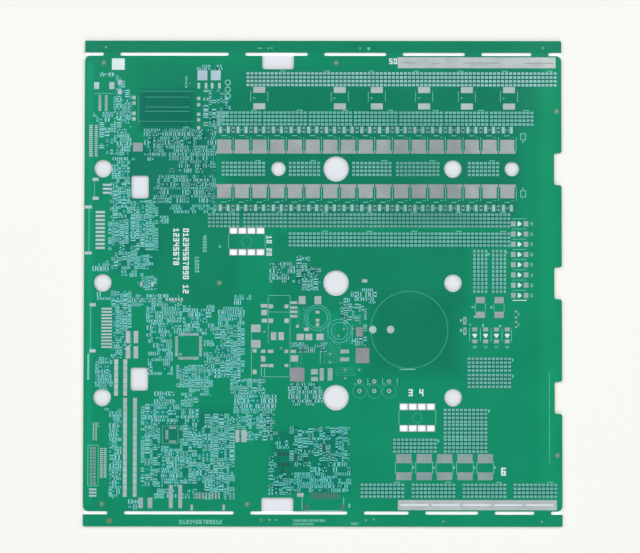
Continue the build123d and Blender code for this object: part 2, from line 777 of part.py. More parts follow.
# ================================================================ controller
controller_centre = (left_edge + controller_inset, hole_rows[1] - controller_drop)
with BuildPart() as controller_lands:
    with BuildSketch(upper_plane):
        with Locations(controller_centre):
            with GridLocations(controller_lead_pitch, controller_span, controller_leads, 2):
                Rectangle(controller_land_width, controller_land_length)
            with GridLocations(controller_span, controller_lead_pitch, 2, controller_leads):
                Rectangle(controller_land_length, controller_land_width)
    extrude(amount=land_thickness)
controller_lands.part.label = "controller_lands"
export_step(controller_lands.part, "parts/controller_lands.step")

# ================================================================ plated barrels
barrel_node("header_barrels", header_spots, header_land_radius, header_hole_radius)
barrel_node("coil_barrels", coil_spots, through_land_radius, through_hole_radius)
barrel_node("capacitor_barrels", capacitor_spots, through_land_radius, through_hole_radius)
barrel_node("relay_barrels", relay_spots, through_land_radius, through_hole_radius)

# A terminal's eight slots are lined with copper, which ends in a wider land on each side.
for name, centre in terminal_centres.items():
    with BuildPart() as terminal:
        for height, thickness, margin in ((0, land_thickness, terminal_ring),
                                          (lower_face, laminate_thickness, plating),
                                          (upper_face, land_thickness, terminal_ring)):
            with BuildSketch(Plane.XY.offset(height)):
                with Locations(centre):
                    with GridLocations(terminal_pitch, terminal_row_spacing, terminal_columns, 2):
                        Rectangle(terminal_slot_width + 2 * margin,
                                  terminal_slot_height + 2 * margin)
            extrude(amount=thickness)
        with BuildSketch(Plane.XY):
            with Locations(centre):
                with GridLocations(terminal_pitch, terminal_row_spacing, terminal_columns, 2):
                    Rectangle(terminal_slot_width, terminal_slot_height)
        extrude(amount=upper_face + land_thickness, mode=Mode.SUBTRACT)
    terminal.part.label = name
    export_step(terminal.part, f"parts/{name}.step")

# ================================================================ marks
left_mark_x = left_edge + mark_inset
middle_mark_x = first_transistor + mark_offset
fiducial_spots = [(left_mark_x, board_top - mark_drop), (cooling_x, board_top - mark_drop),
                  (left_mark_x, board_bottom + mark_drop),
                  (middle_mark_x, board_bottom + mark_drop),
                  (first_transistor + transistor_mark_offset, hole_rows[1]),
                  (right_edge - edge_mark_inset, board_top - edge_mark_drop),
                  (right_edge - edge_mark_inset, board_bottom + edge_mark_drop)]
with BuildPart() as fiducials:
    with BuildSketch(upper_plane):
        eight_sided(fiducial_radius, fiducial_spots)
    extrude(amount=land_thickness)
fiducials.part.label = "fiducial_discs"
export_step(fiducials.part, "parts/fiducial_discs.step")

with BuildPart() as legend_block:
    with BuildSketch(upper_plane):
        with Locations((left_edge + ground_land_inset, board_top - ground_land_drop)):
            Rectangle(legend_block_width, legend_block_height)
    extrude(amount=legend_thickness)
legend_block.part.label = "legend_block"
export_step(legend_block.part, "parts/legend_block.step")

# ================================================================ underside
# The hidden side carries the supply strip's twin, wide copper for the current, and ground lands.
land_node("underside_bus_strip", supply_strip, Plane.XY)
land_node("underside_ground_lands",
          [([(left_edge + ground_land_inset, board_top - ground_land_drop),
             (left_edge + ground_land_inset, board_bottom + ground_land_drop)],
            ground_land_width, ground_land_height)], Plane.XY)
field_node("underside_window_fields", [(centre, window_columns) for centre in row_a_fields],
           Plane.XY)

print("panel", round(panel_width, 3), "x", round(panel_height, 3))
print("hole rows", [round(y, 3) for y in hole_rows], "columns", round(hole_left, 3),
      round(cooling_x, 3), round(hole_right, 3))
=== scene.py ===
import math
import random

import bmesh
import bpy
from mathutils import Matrix, Vector


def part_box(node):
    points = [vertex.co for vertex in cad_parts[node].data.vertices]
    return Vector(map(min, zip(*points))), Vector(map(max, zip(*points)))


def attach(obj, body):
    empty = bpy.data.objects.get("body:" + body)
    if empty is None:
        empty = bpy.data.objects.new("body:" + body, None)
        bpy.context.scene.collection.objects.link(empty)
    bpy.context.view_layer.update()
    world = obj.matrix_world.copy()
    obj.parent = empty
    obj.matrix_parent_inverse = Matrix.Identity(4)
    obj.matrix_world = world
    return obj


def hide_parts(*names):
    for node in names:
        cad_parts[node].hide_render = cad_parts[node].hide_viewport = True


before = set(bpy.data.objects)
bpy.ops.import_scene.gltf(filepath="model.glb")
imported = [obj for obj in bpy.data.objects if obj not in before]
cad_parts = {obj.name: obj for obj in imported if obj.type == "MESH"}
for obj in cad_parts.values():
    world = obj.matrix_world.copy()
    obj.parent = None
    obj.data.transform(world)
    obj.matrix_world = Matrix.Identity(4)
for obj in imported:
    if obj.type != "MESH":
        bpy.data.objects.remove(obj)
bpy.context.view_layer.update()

# Bare circuit board of a battery management unit in its delivery panel, dressed for looks.
# X runs to the right, Y up the board, Z out of the component side, in metres.
# Places on the board are written in millimetres from its middle, as on its drawing.

MM = 0.001
random.seed(26)

# ---------------------------------------------------------------- levels, from the frame
panel_low, panel_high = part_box("laminate_panel")
mask_top = panel_high.z
mask_bottom = panel_low.z
land_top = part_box("upper_tab_lands")[1].z
# What lies on the mask: its own clearings first, then the print, with the small lands and the
# print of the crowded fields on top, so that no two of them share a level where they cross.
room_top = mask_top + 0.01 * MM
trace_top = mask_top + 0.018 * MM
ink_top = mask_top + 0.03 * MM
small_land_top = mask_top + 0.04 * MM
ink_over_trace = mask_top + 0.045 * MM


def span(node):
    """A CAD node's left, bottom, right and top in millimetres."""
    low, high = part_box(node)
    return low.x / MM, low.y / MM, high.x / MM, high.y / MM


def colour(red, green, blue):
    """A colour as a paint chart gives it, 0 to 255, turned into Blender's linear values."""
    values = []
    for part in (red, green, blue):
        part = part / 255
        values.append(part / 12.92 if part <= 0.04045 else ((part + 0.055) / 1.055) ** 2.4)
    return (*values, 1.0)


# ================================================================ meshes
def finish_piece(name, bm, material):
    """Turns a bmesh into a piece of the board that rides with it."""
    bmesh.ops.recalc_face_normals(bm, faces=bm.faces)
    mesh = bpy.data.meshes.new(name)
    bm.to_mesh(mesh)
    bm.free()
    mesh.materials.append(material)
    piece = bpy.data.objects.new(name, mesh)
    bpy.context.scene.collection.objects.link(piece)
    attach(piece, "root")
    return piece


def add_plates(whole, plates, low, high):
    """A thin block for each plate. They are made in batches, which keeps the operators quick."""
    batch_size = 150
    for start in range(0, len(plates), batch_size):
        batch = bmesh.new()
        for x, y, width, height, turn in plates[start:start + batch_size]:
            place = (Matrix.Translation((x * MM, y * MM, (low + high) / 2))
                     @ Matrix.Rotation(turn, 4, "Z")
                     @ Matrix.Diagonal((width * MM, height * MM, high - low, 1)))
            bmesh.ops.create_cube(batch, size=1, matrix=place)
        mesh = bpy.data.meshes.new("batch")
        batch.to_mesh(mesh)
        batch.free()
        whole.from_mesh(mesh)
        bpy.data.meshes.remove(mesh)


def add_discs(bm, spots, radius, low, high, sides=10):
    """Flat round lands."""
    for x, y in spots:
        place = Matrix.Translation((x * MM, y * MM, (low + high) / 2))
        bmesh.ops.create_cone(bm, cap_ends=True, segments=sides, radius1=radius * MM,
                              radius2=radius * MM, depth=high - low, matrix=place)


def add_ring(bm, x, y, radius, line, low, high, steps):
    """A ring, made by turning the section of its line round the middle."""
    inner, outer = (radius - line / 2) * MM, (radius + line / 2) * MM
    centre = Vector((x * MM, y * MM, 0))
    corners = [bm.verts.new(centre + Vector((r, 0, z)))
               for r, z in ((inner, low), (outer, low), (outer, high), (inner, high))]
    section = [bm.edges.new((corners[i], corners[(i + 1) % 4])) for i in range(4)]
    bmesh.ops.spin(bm, geom=corners + section, cent=centre, axis=(0, 0, 1), angle=2 * math.pi,
                   steps=steps, use_merge=True)


def plates_piece(name, plates, low, high, material):
    """A piece made of plates alone."""
    bm = bmesh.new()
    add_plates(bm, plates, low, high)
    return finish_piece(name, bm, material)


def print_piece(name, marks, finish, top=ink_top):
    """A piece of the printed legend."""
    return plates_piece(name, marks, mask_top, top, finish)


def lands_piece(name, lands, tin):
    """A piece made of thin tinned lands."""
    return plates_piece(name, lands, mask_top, small_land_top, tins[tin])


def rings_piece(name, rings, finish, steps=24):
    """Printed circles, each given by its middle, its radius and the width of its line."""
    bm = bmesh.new()
    for x, y, radius, line in rings:
        add_ring(bm, x, y, radius, line, mask_top, ink_top, steps if radius < 10 else 2 * steps)
    return finish_piece(name, bm, finish)


# ---------------------------------------------------------------- plate patterns
def bar(left, bottom, right, top):
    """A level plate given by its edges."""
    return ((left + right) / 2, (bottom + top) / 2, right - left, top - bottom, 0.0)


def frame_lines(left, bottom, right, top, line=0.3):
    """Four lines round a rectangle. They meet at the corners and don't overlap."""
    return [bar(left, bottom, right, bottom + line), bar(left, top - line, right, top),
            bar(left, bottom + line, left + line, top - line),
            bar(right - line, bottom + line, right, top - line)]


def upright(x, bottom, top, line=0.3):
    """An upright line of the legend."""
    return (x, (bottom + top) / 2, line, top - bottom, 0.0)


def level(y, left, right, line=0.3):
    """A level line of the legend."""
    return ((left + right) / 2, y, right - left, line, 0.0)


def stroke(x1, y1, x2, y2, line):
    """A straight line between two places."""
    length = math.hypot(x2 - x1, y2 - y1)
    return ((x1 + x2) / 2, (y1 + y2) / 2, length + line, line, math.atan2(y2 - y1, x2 - x1))


def turned(plates, x, y, turn):
    """Plates drawn round the origin, turned and moved to their place."""
    c, s = math.cos(turn), math.sin(turn)
    return [(x + px * c - py * s, y + px * s + py * c, w, h, t + turn)
            for px, py, w, h, t in plates]


# Each figure as five rows of three cells, from the top down, and where the filled runs of a
# row start and end.
FIGURES = {"0": "111 101 101 101 111", "1": "010 110 010 010 111", "2": "111 001 111 100 111",
           "3": "111 001 111 001 111", "4": "101 101 111 001 001", "5": "111 100 111 001 111",
           "6": "111 100 111 101 111", "7": "111 001 010 010 010", "8": "111 101 111 101 111",
           "9": "111 101 111 001 111"}
RUNS = {"111": ((0, 3),), "101": ((0, 1), (2, 3)), "100": ((0, 1),), "001": ((2, 3),),
        "010": ((1, 2),), "110": ((0, 2),)}
DOWN = -math.pi / 2   # the turn of figures that read down the board


def number(text, x, y, height, turn=0.0):
    """Plain figures drawn with square cells. They start at x and y and run along turn."""
    cell = height / 5
    plates = []
    for place, figure in enumerate(text):
        for row, cells in enumerate(FIGURES.get(figure, "").split()):
            for start, end in RUNS[cells]:
                across = place * 4 + start
                plates.append(bar(across * cell, (4 - row) * cell,
                                  (across + end - start) * cell, (5 - row) * cell))
    return turned(plates, x, y, turn)


# ================================================================ materials
def new_material(name):
    """A material whose shader and output are joined, and the place on the board that it reads."""
    material = bpy.data.materials.new(name)
    material.use_nodes = True
    tree = material.node_tree
    tree.nodes.clear()
    output = tree.nodes.new("ShaderNodeOutputMaterial")
    shader = tree.nodes.new("ShaderNodeBsdfPrincipled")
    tree.links.new(shader.outputs["BSDF"], output.inputs["Surface"])
    place = tree.nodes.new("ShaderNodeTexCoord").outputs["Object"]
    return material, tree, shader, place


def new_group(name, inputs, outputs):
    """An empty group, with its input and output sockets given as names and kinds."""
    tree = bpy.data.node_groups.new(name, "ShaderNodeTree")
    for direction, sockets in (("INPUT", inputs), ("OUTPUT", outputs)):
        for socket, kind in sockets.items():
            tree.interface.new_socket(socket, in_out=direction, socket_type=f"NodeSocket{kind}")
    start, end = tree.nodes.new("NodeGroupInput"), tree.nodes.new("NodeGroupOutput")
    return tree, start.outputs, end.inputs


def set_inputs(node, values):
    """Plain values for some of a node's sockets."""
    for socket, value in values.items():
        node.inputs[socket].default_value = value


def feed(tree, socket, source):
    """Joins a socket to another node's output, or sets a plain value on it."""
    if isinstance(source, bpy.types.NodeSocket):
        tree.links.new(source, socket)
    else:
        socket.default_value = source


def calculate(tree, operation, first, second=None, kind="ShaderNodeMath"):
    """What a math node makes of one or two values."""
    node = tree.nodes.new(kind)
    node.operation = operation
    feed(tree, node.inputs[0], first)
    if second is not None:
        feed(tree, node.inputs[1], second)
    return node.outputs[0]


def noise(tree, place, scale, detail):
    """Cloudy noise over the surface, from 0 to 1."""
    node = tree.nodes.new("ShaderNodeTexNoise")
    set_inputs(node, {"Scale": scale, "Detail": detail})
    tree.links.new(place, node.inputs["Vector"])
    return node.outputs["Fac"]


def remap(tree, value, low, high, from_low=0.0, from_high=1.0):
    """A value between from_low and from_high, moved to between low and high."""
    node = tree.nodes.new("ShaderNodeMapRange")
    tree.links.new(value, node.inputs["Value"])
    set_inputs(node, {"From Min": from_low, "From Max": from_high, "To Min": low, "To Max": high})
    return node.outputs["Result"]


def mix_colours(tree, factor, first, second):
    """The first colour where factor is 0, the second where it is 1, and a blend between."""
    node = tree.nodes.new("ShaderNodeMix")
    node.data_type = "RGBA"
    feed(tree, node.inputs["Factor"], factor)
    feed(tree, node.inputs["A"], first)
    feed(tree, node.inputs["B"], second)
    return node.outputs["Result"]


def brighten(tree, tone, value):
    """A colour made lighter or darker by a value that changes over the surface."""
    node = tree.nodes.new("ShaderNodeHueSaturation")
    feed(tree, node.inputs["Color"], tone)
    tree.links.new(value, node.inputs["Value"])
    return node.outputs["Color"]


def add_relief(tree, shader, height, strength, distance):
    """Bumps on the surface that follow a height."""
    node = tree.nodes.new("ShaderNodeBump")
    set_inputs(node, {"Strength": strength, "Distance": distance})
    tree.links.new(height, node.inputs["Height"])
    tree.links.new(node.outputs["Normal"], shader.inputs["Normal"])


def place_group(tree, group, place):
    """A group set into a material."""
    node = tree.nodes.new("ShaderNodeGroup")
    node.node_tree = group
    tree.links.new(place, node.inputs["Vector"])
    return node


def make_weave_group():
    """The glass cloth that shows faintly through the mask, as a height."""
    group, start, end = new_group("glass weave", {"Vector": "Vector"}, {"Height": "Float"})
    threads = []
    for direction in ("X", "Y"):
        wave = group.nodes.new("ShaderNodeTexWave")
        wave.bands_direction = direction
        set_inputs(wave, {"Scale": 310, "Distortion": 0.4})
        group.links.new(start["Vector"], wave.inputs["Vector"])
        threads.append(wave.outputs["Fac"])
    group.links.new(calculate(group, "MULTIPLY", *threads), end["Height"])
    return group


def make_zone_group():
    """1 inside an upright rectangle of the board and 0 outside, with a soft edge."""
    group, start, end = new_group("board zone", {"Vector": "Vector", "Centre": "Vector",
                                                 "Half size": "Vector", "Edge": "Float"},
                                  {"Inside": "Float"})
    vector_math = "ShaderNodeVectorMath"
    offset = calculate(group, "SUBTRACT", start["Vector"], start["Centre"], vector_math)
    distance = calculate(group, "ABSOLUTE", offset, kind=vector_math)
    room = group.nodes.new("ShaderNodeSeparateXYZ")
    group.links.new(calculate(group, "SUBTRACT", start["Half size"], distance, vector_math),
                    room.inputs[0])
    nearest = calculate(group, "MINIMUM", room.outputs["X"], room.outputs["Y"])
    ramp = calculate(group, "DIVIDE", nearest, start["Edge"])
    ramp.node.use_clamp = True
    group.links.new(ramp, end["Inside"])
    return group


def make_tin_group():
    """Hot-levelled tin: clouds between two colours, and the height of a slightly rippled skin."""
    group, start, end = new_group("tin skin", {"Vector": "Vector", "Dark": "Color", "Light": "Color"},
                                  {"Color": "Color", "Height": "Float"})
    clouds = remap(group, noise(group, start["Vector"], 110, 5), 0.0, 1.0, 0.32, 0.68)
    group.links.new(mix_colours(group, clouds, start["Dark"], start["Light"]), end["Color"])
    group.links.new(noise(group, start["Vector"], 900, 3), end["Height"])
    return group


weave_group = make_weave_group()
zone_group = make_zone_group()
tin_group = make_tin_group()


def inside_zone(tree, place, left, bottom, right, top, edge):
    """The inside of a rectangle of the board or the floor, as a mask with a soft edge."""
    zone = place_group(tree, zone_group, place)
    set_inputs(zone, {"Centre": ((left + right) / 2 * MM, (bottom + top) / 2 * MM, 0),
                      "Half size": ((right - left) / 2 * MM, (top - bottom) / 2 * MM, 1),
                      "Edge": edge * MM})
    return zone.outputs["Inside"]


mask_green = colour(4, 134, 98)
mask_over_copper = colour(5, 126, 94)
mask_dark = colour(3, 119, 90)
mask_pour = colour(2, 117, 86)
mask_crowded = colour(1, 117, 92)
mask_deep = colour(0, 98, 80)
mask_relay = colour(0, 107, 87)
mask_gap = colour(2, 127, 106)
mask_between = colour(0, 110, 90)
mask_right = colour(5, 143, 101)
mask_painted_sheen = colour(8, 152, 116)
edge_of_laminate = colour(190, 200, 176)

# Copper pours, bare laminate, crowded places under the mask and a painted sheen along the left edge, as
# left, bottom, right, top, tone and width of the soft edge.
tone_zones = [
    (-151, -153, 151, -144.2, mask_green, 1), (-151, 144.2, 151, 153, mask_over_copper, 1),
    (-120, 92, 151, 143, mask_over_copper, 12), (-66, 36, 128, 128, mask_dark, 9),
    (-108, -24, -50, 52, mask_over_copper, 6), (-34, -20, 92, 34, mask_over_copper, 5),
    (22, -64, 92, 2, mask_pour, 14), (-118, 94, -79, 124, mask_relay, 5),
    (-112, -136, -54, -76, mask_crowded, 8), (-134, 4, -100, 92, mask_crowded, 8),
    (-110, 40, -66, 98, mask_crowded, 5), (-34, -134, 18, -90, mask_crowded, 5),
    # Painted sheen: the lighter green strip along the left edge stands in for a reflection on the glossy
    # mask.
    (-150, -140, -143, 140, mask_painted_sheen, 5), (118, -143, 151, 60, mask_green, 14),
    (132, -143, 152, 143, mask_right, 9)]
# The mask over cleared copper is deeper in the power half.
cleared_zones = [(-116, 48, 151, 143, mask_deep, 6), (-40, -143, 151, 48, mask_deep, 6)]
# All tin is painted darker in this stretch over the transistor rows: painted shade.
painted_shade_stretch = (38, 34, 94, 106, 8)


def mask_material(name, ground, zones, bump):
    """Glossy green mask. Its tone changes with the copper below and, in one zone, with a painted sheen,
    and its cut edges are bare.
    """
    material, tree, shader, place = new_material(name)
    tone = ground
    for left, bottom, right, top, shade, edge in zones:
        tone = mix_colours(tree, inside_zone(tree, place, left, bottom, right, top, edge), tone, shade)
    clouds = noise(tree, place, 26, 6)
    varied = brighten(tree, tone, remap(tree, clouds, 0.86, 1.12))
    # The cut edges of the sheet are told by their level normals.
    facing = tree.nodes.new("ShaderNodeSeparateXYZ")
    tree.links.new(tree.nodes.new("ShaderNodeNewGeometry").outputs["Normal"], facing.inputs[0])
    steepness = calculate(tree, "ABSOLUTE", facing.outputs["Z"])
    is_edge = calculate(tree, "LESS_THAN", steepness, 0.5)
    tree.links.new(mix_colours(tree, is_edge, varied, edge_of_laminate), shader.inputs["Base Color"])
    weave = place_group(tree, weave_group, place)
    add_relief(tree, shader, weave.outputs["Height"], bump, 0.01 * MM)
    tree.links.new(remap(tree, clouds, 0.24, 0.38), shader.inputs["Roughness"])
    set_inputs(shader, {"Specular IOR Level": 0.2})
    return material


def tin_material(name, tone, metallic=0.3):
    """Bare tinned copper that varies a little round one tone, with painted shade that darkens it in one
    stretch.
    """
    material, tree, shader, place = new_material(name)
    tin = place_group(tree, tin_group, place)
    set_inputs(tin, {"Dark": colour(*(part * 0.955 for part in tone)),
                     "Light": colour(*(min(255, part * 1.045) for part in tone))})
    # Painted shade: the tin is darker inside the stretch.
    value = remap(tree, inside_zone(tree, place, *painted_shade_stretch), 1.0, 0.83)
    tree.links.new(brighten(tree, tin.outputs["Color"], value), shader.inputs["Base Color"])
    add_relief(tree, shader, tin.outputs["Height"], 0.3, 0.03 * MM)
    set_inputs(shader, {"Metallic": metallic, "Roughness": 0.42})
    return material


def ink_material(name, tint, worn):
    """Printed legend: matt, and slightly thin where the screen left less ink."""
    material, tree, shader, place = new_material(name)
    coverage = remap(tree, noise(tree, place, 1500, 3), 0.0, 1.0, 0.3, 0.55)
    tree.links.new(mix_colours(tree, coverage, colour(*worn), colour(*tint)),
                   shader.inputs["Base Color"])
    set_inputs(shader, {"Roughness": 0.7})
    return material


panel_mask = mask_material("green mask", mask_green, tone_zones, 0.4)
mask_cleared = mask_material("green mask over cleared copper", mask_gap, cleared_zones, 0.15)
mask_webs = mask_material("green mask between windows", mask_between, [], 0.15)
dark_land = tin_material("dark land", (14, 78, 66), metallic=0.1)
ring_tan = ink_material("bare ring", (98, 126, 84), (72, 122, 86))
ink = ink_material("white legend", (216, 230, 234), (190, 216, 218))
ink_thin = ink_material("thin legend", (110, 209, 206), (74, 185, 179))
ink_dim = ink_material("dim thin legend", (97, 195, 190), (61, 175, 168))
ink_sharp = ink_material("sharp thin legend", (86, 212, 204), (54, 190, 178))
ink_pale = ink_material("pale legend", (124, 196, 184), (84, 172, 152))
ink_faint = ink_material("faint legend", (62, 158, 140), (36, 140, 118))
ink_blue = ink_material("hatched legend", (84, 178, 176), (52, 152, 146))

# Levelled tin looks different with the size of a land and with what lies round it.
tin_tones = {
    "tin": (172, 188, 191), "tin of strips": (180, 190, 192), "tin of tabs": (158, 168, 172),
    "tin of leads": (152, 190, 188), "tin of large lands": (152, 166, 170),
    "tin of small lands": (152, 176, 178), "tin of fine lands": (170, 194, 206),
    "tin of bright lands": (178, 200, 206), "tin of windows": (142, 194, 190),
    "tin of dim windows": (112, 182, 172), "tin of dark windows": (108, 172, 162),
    "tin of brown lands": (92, 114, 114), "tin of marks": (118, 164, 146),
    "tin of specks": (152, 206, 210), "tin of dim specks": (134, 193, 196),
    "tin of sharp specks": (126, 206, 206), "tin of shunts": (139, 160, 162),
    "tin of dull lands": (143, 147, 154)}
tins = {name: tin_material(name, tone) for name, tone in tin_tones.items()}

# ---------------------------------------------------------------- CAD nodes that stay as they are
nodes_by_tin = {
    "tin of strips": ("supply_bus_strip", "output_bus_strip", "balance_lands_short",
                      "load_terminal_barrels"),
    "tin of tabs": ("upper_tab_lands", "lower_tab_lands"),
    "tin of dull lands": ("power_inductor_lands",), "tin of shunts": ("shunt_lands",),
    "tin of leads": ("upper_lead_lands", "lower_lead_lands"),
    "tin of large lands": ("snubber_lands", "shield_clip_land", "battery_terminal_barrels"),
    "tin of small lands": ("current_sense_lands", "diode_column_lands", "diode_row_lands",
                           "fuse_lands", "display_connector_lands"),
    "tin of fine lands": ("controller_lands", "input_filter_lands", "supply_driver_lands",
                          "sensor_connector_lands", "relay_barrels", "capacitor_barrels"),
    "tin of bright lands": ("cell_connector_lands", "pack_connector_lands", "isolator_lands",
                            "memory_lands", "signal_connector_lands", "probe_connector_lands",
                            "header_barrels", "coil_barrels"),
    "tin of brown lands": ("service_connector_lands",), "tin of marks": ("fiducial_discs",),
    "tin of windows": ("window_row_a", "underside_window_fields"),
    "tin of dim windows": ("window_row_b", "window_row_d", "window_row_middle",
                           "window_row_output", "window_column_fields", "window_field_pair",
                           "window_field_stack"),
    "tin of dark windows": ("window_row_c",)}
node_finish = {node: tins[tone] for tone, nodes in nodes_by_tin.items() for node in nodes}
node_finish["laminate_panel"] = panel_mask
node_finish["legend_block"] = ink
for name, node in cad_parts.items():
    node.data.materials.clear()
    node.data.materials.append(node_finish.get(name, tins["tin"]))


def solids_of(node):
    """Left, bottom, right and top of each separate solid of a node, from a merged copy of its mesh."""
    bm = bmesh.new()
    bm.from_mesh(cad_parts[node].data)
    bmesh.ops.remove_doubles(bm, verts=bm.verts, dist=1e-6)
    boxes, seen = [], set()
    for first in bm.verts:
        if first in seen:
            continue
        seen.add(first)
        group, waiting = [], [first]
        while waiting:
            vert = waiting.pop()
            group.append(vert.co)
            for edge in vert.link_edges:
                other = edge.other_vert(vert)
                if other not in seen:
                    seen.add(other)
                    waiting.append(other)
        xs, ys = [co.x / MM for co in group], [co.y / MM for co in group]
        boxes.append((min(xs), min(ys), max(xs), max(ys)))
    bm.free()
    return boxes


# ================================================================ solder windows
# The CAD bands are the copper of a field. What shows of them is a grid of tinned windows.
window_length = 1.9
window_pitch = 2.54


def windows_of(node):
    """One plate for each window along each copper band of a node."""
    plates = []
    for left, bottom, right, top in solids_of(node):
        lies_level = right - left > top - bottom
        length = right - left if lies_level else top - bottom
        count = round((length - window_length) / window_pitch) + 1
        for i in range(count):
            start = window_pitch * i
            if lies_level:
                plates.append(bar(left + start, bottom, left + start + window_length, top))
            else:
                plates.append(bar(left, bottom + start, right, bottom + start + window_length))
    return plates


window_nodes = sorted(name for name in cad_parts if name.startswith("window_"))
for name in window_nodes:
    windows = plates_piece(f"{name}_openings", windows_of(name), mask_top, land_top,
                           node_finish[name])
    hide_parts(name)


def fields_of(node):
    """Left, bottom, right and top of each whole field, from the bands of its copper."""
    fields = []
    for left, bottom, right, top in sorted(solids_of(node), key=lambda box: (round(box[0]), box[1])):
        last = fields[-1] if fields else None
        if last and abs(last[0] - left) < 0.1 and bottom - last[3] < 1.1:
            last[3] = top
        else:
            fields.append([left, bottom, right, top])
    return fields


field_rooms = [bar(left - 0.25, bottom - 0.25, right + 0.25, top + 0.25)
               for name in window_nodes for left, bottom, right, top in fields_of(name)]
plates_piece("field_clearances", field_rooms, mask_top, trace_top, mask_webs)
windows = plates_piece("underside_openings", windows_of("underside_window_fields"),
                       mask_bottom - (land_top - mask_top), mask_bottom,
                       node_finish["underside_window_fields"])
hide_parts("underside_window_fields")

# ================================================================ small parts of the logic half
# A footprint is drawn round the origin, from its width and height: its lands, then its legend.


def outline(width, height, line=0.21):
    """A thin printed box, a little smaller than its footprint."""
    x, y = width / 2 - 0.12, height / 2 - 0.12
    return frame_lines(-x, -y, x, y, line)


def chip_prints(width, height):
    """A two-land part in a printed box."""
    land = 0.22 * width
    lands = [(side * (width - land - 0.6) / 2, 0, land, height - 1.0, 0) for side in (-1, 1)]
    return lands, outline(width, height)


def bare_chip_prints(width, height):
    """A two-land part between two printed lines."""
    land = 0.24 * width
    lands = [(side * (width - land - 0.4) / 2, 0, land, height - 0.9, 0) for side in (-1, 1)]
    return lands, [level(side * (height / 2 - 0.15), -width / 2 + 0.2, width / 2 - 0.2, 0.18)
                   for side in (-1, 1)]


def tall_prints(width, height):
    """A two-land part that stands across its shelf, in a printed box."""
    land = 0.24 * height
    lands = [(0, side * (height - land - 0.6) / 2, width - 0.9, land, 0) for side in (-1, 1)]
    return lands, outline(width, height)


def transistor_prints(width, height):
    """Three lands, with an open printed box round the upper one."""
    lands = [(side * 0.3 * width, -0.28 * height, 0.75, 0.85, 0) for side in (-1, 1)]
    lands.append((0, 0.28 * height, 0.75, 0.85, 0))
    return lands, [upright(-0.44 * width, -0.2 * height, 0.3 * height, 0.16),
                   upright(0.44 * width, -0.2 * height, 0.3 * height, 0.16),
                   level(0.3 * height + 0.08, -0.44 * width, -0.2 * width, 0.16),
                   level(0.3 * height + 0.08, 0.2 * width, 0.44 * width, 0.16)]


def array_prints(width, height):
    """A small array: two rows of lands with a printed line between them."""
    count = max(2, int((width - 0.4) / 0.75))
    lands = [((i - (count - 1) / 2) * 0.75, side * (height / 2 - 0.6), 0.4, 0.9, 0)
             for i in range(count) for side in (-1, 1)]
    return lands, [level(0, -width / 2 + 0.3, width / 2 - 0.3, 0.18)]


def figure_prints(width, height):
    """Small plain figures without a part."""
    size = min(1.25, height - 0.5)
    text = "".join(random.choice("0123456789") for _ in range(max(1, int(width / size))))
    return [], number(text, -width / 2 + 0.2, -size / 2, size)


def dot_prints(width, height):
    """A test land with two marks."""
    return [(0, 0, 0.75, 0.75, 0)], [(0.25 * width, 0.3 * height, 0.5, 0.2, 0),
                                     (-0.25 * width, -0.3 * height, 0.2, 0.6, 0)]


# Each kind with the least height of its shelf, its widths, and how often it comes.
part_kinds = [(chip_prints, 1.5, (2.3, 2.7, 3.2), 8), (bare_chip_prints, 1.3, (2.1, 2.6), 5),
              (tall_prints, 2.1, (1.4, 1.7, 2.0), 6), (transistor_prints, 3.0, (2.9, 3.3), 3),
              (array_prints, 2.6, (3.0, 3.8, 5.2), 2), (figure_prints, 1.3, (1.5, 2.4, 3.2), 4),
              (dot_prints, 1.3, (1.2, 1.5), 2)]
shelf_heights = (1.6, 1.8, 2.1, 2.4, 3.1, 3.5)
gaps_between_parts = (0.0, 0.0, 0.3)
least_shelf = 1.2     # a strip narrower or shorter than this is left empty
least_part = 1.1
border = 0.8          # parts nearer than this to the edge of their area
border_share = 0.88   # are this much rarer


def fill_area(left, bottom, right, top, on_end, full):
    """Packs footprints into a rectangle, shelf by shelf, as a dense layout does."""
    length, depth = (top - bottom, right - left) if on_end else (right - left, top - bottom)
    turn = math.pi / 2 if on_end else 0.0
    lands, marks, rooms = [], [], []
    shelf = 0.0
    while shelf < depth - least_shelf:
        height = min(random.choice(shelf_heights), depth - shelf)
        kinds = [(kind, widths) for kind, least, widths, share in part_kinds for _ in range(share)
                 if height >= least]
        along = random.uniform(0.0, 0.5)
        while kinds and along < length - least_shelf:
            kind, widths = random.choice(kinds)
            width = min(random.choice(widths), length - along)
            inset = min(along, length - along - width, shelf, depth - shelf - height)
            chance = full if inset > border else border_share * full
            if width > least_part and random.random() < chance:
                part_lands, part_marks = kind(width, height)
                x, y = ((left + shelf + height / 2, bottom + along + width / 2) if on_end
                        else (left + along + width / 2, bottom + shelf + height / 2))
                lands += turned(part_lands, x, y, turn)
                marks += turned(part_marks, x, y, turn)
                rooms += turned([(0, 0, width, height, 0)], x, y, turn)
            along += width + random.choice(gaps_between_parts)
        shelf += height
    return lands, marks, rooms


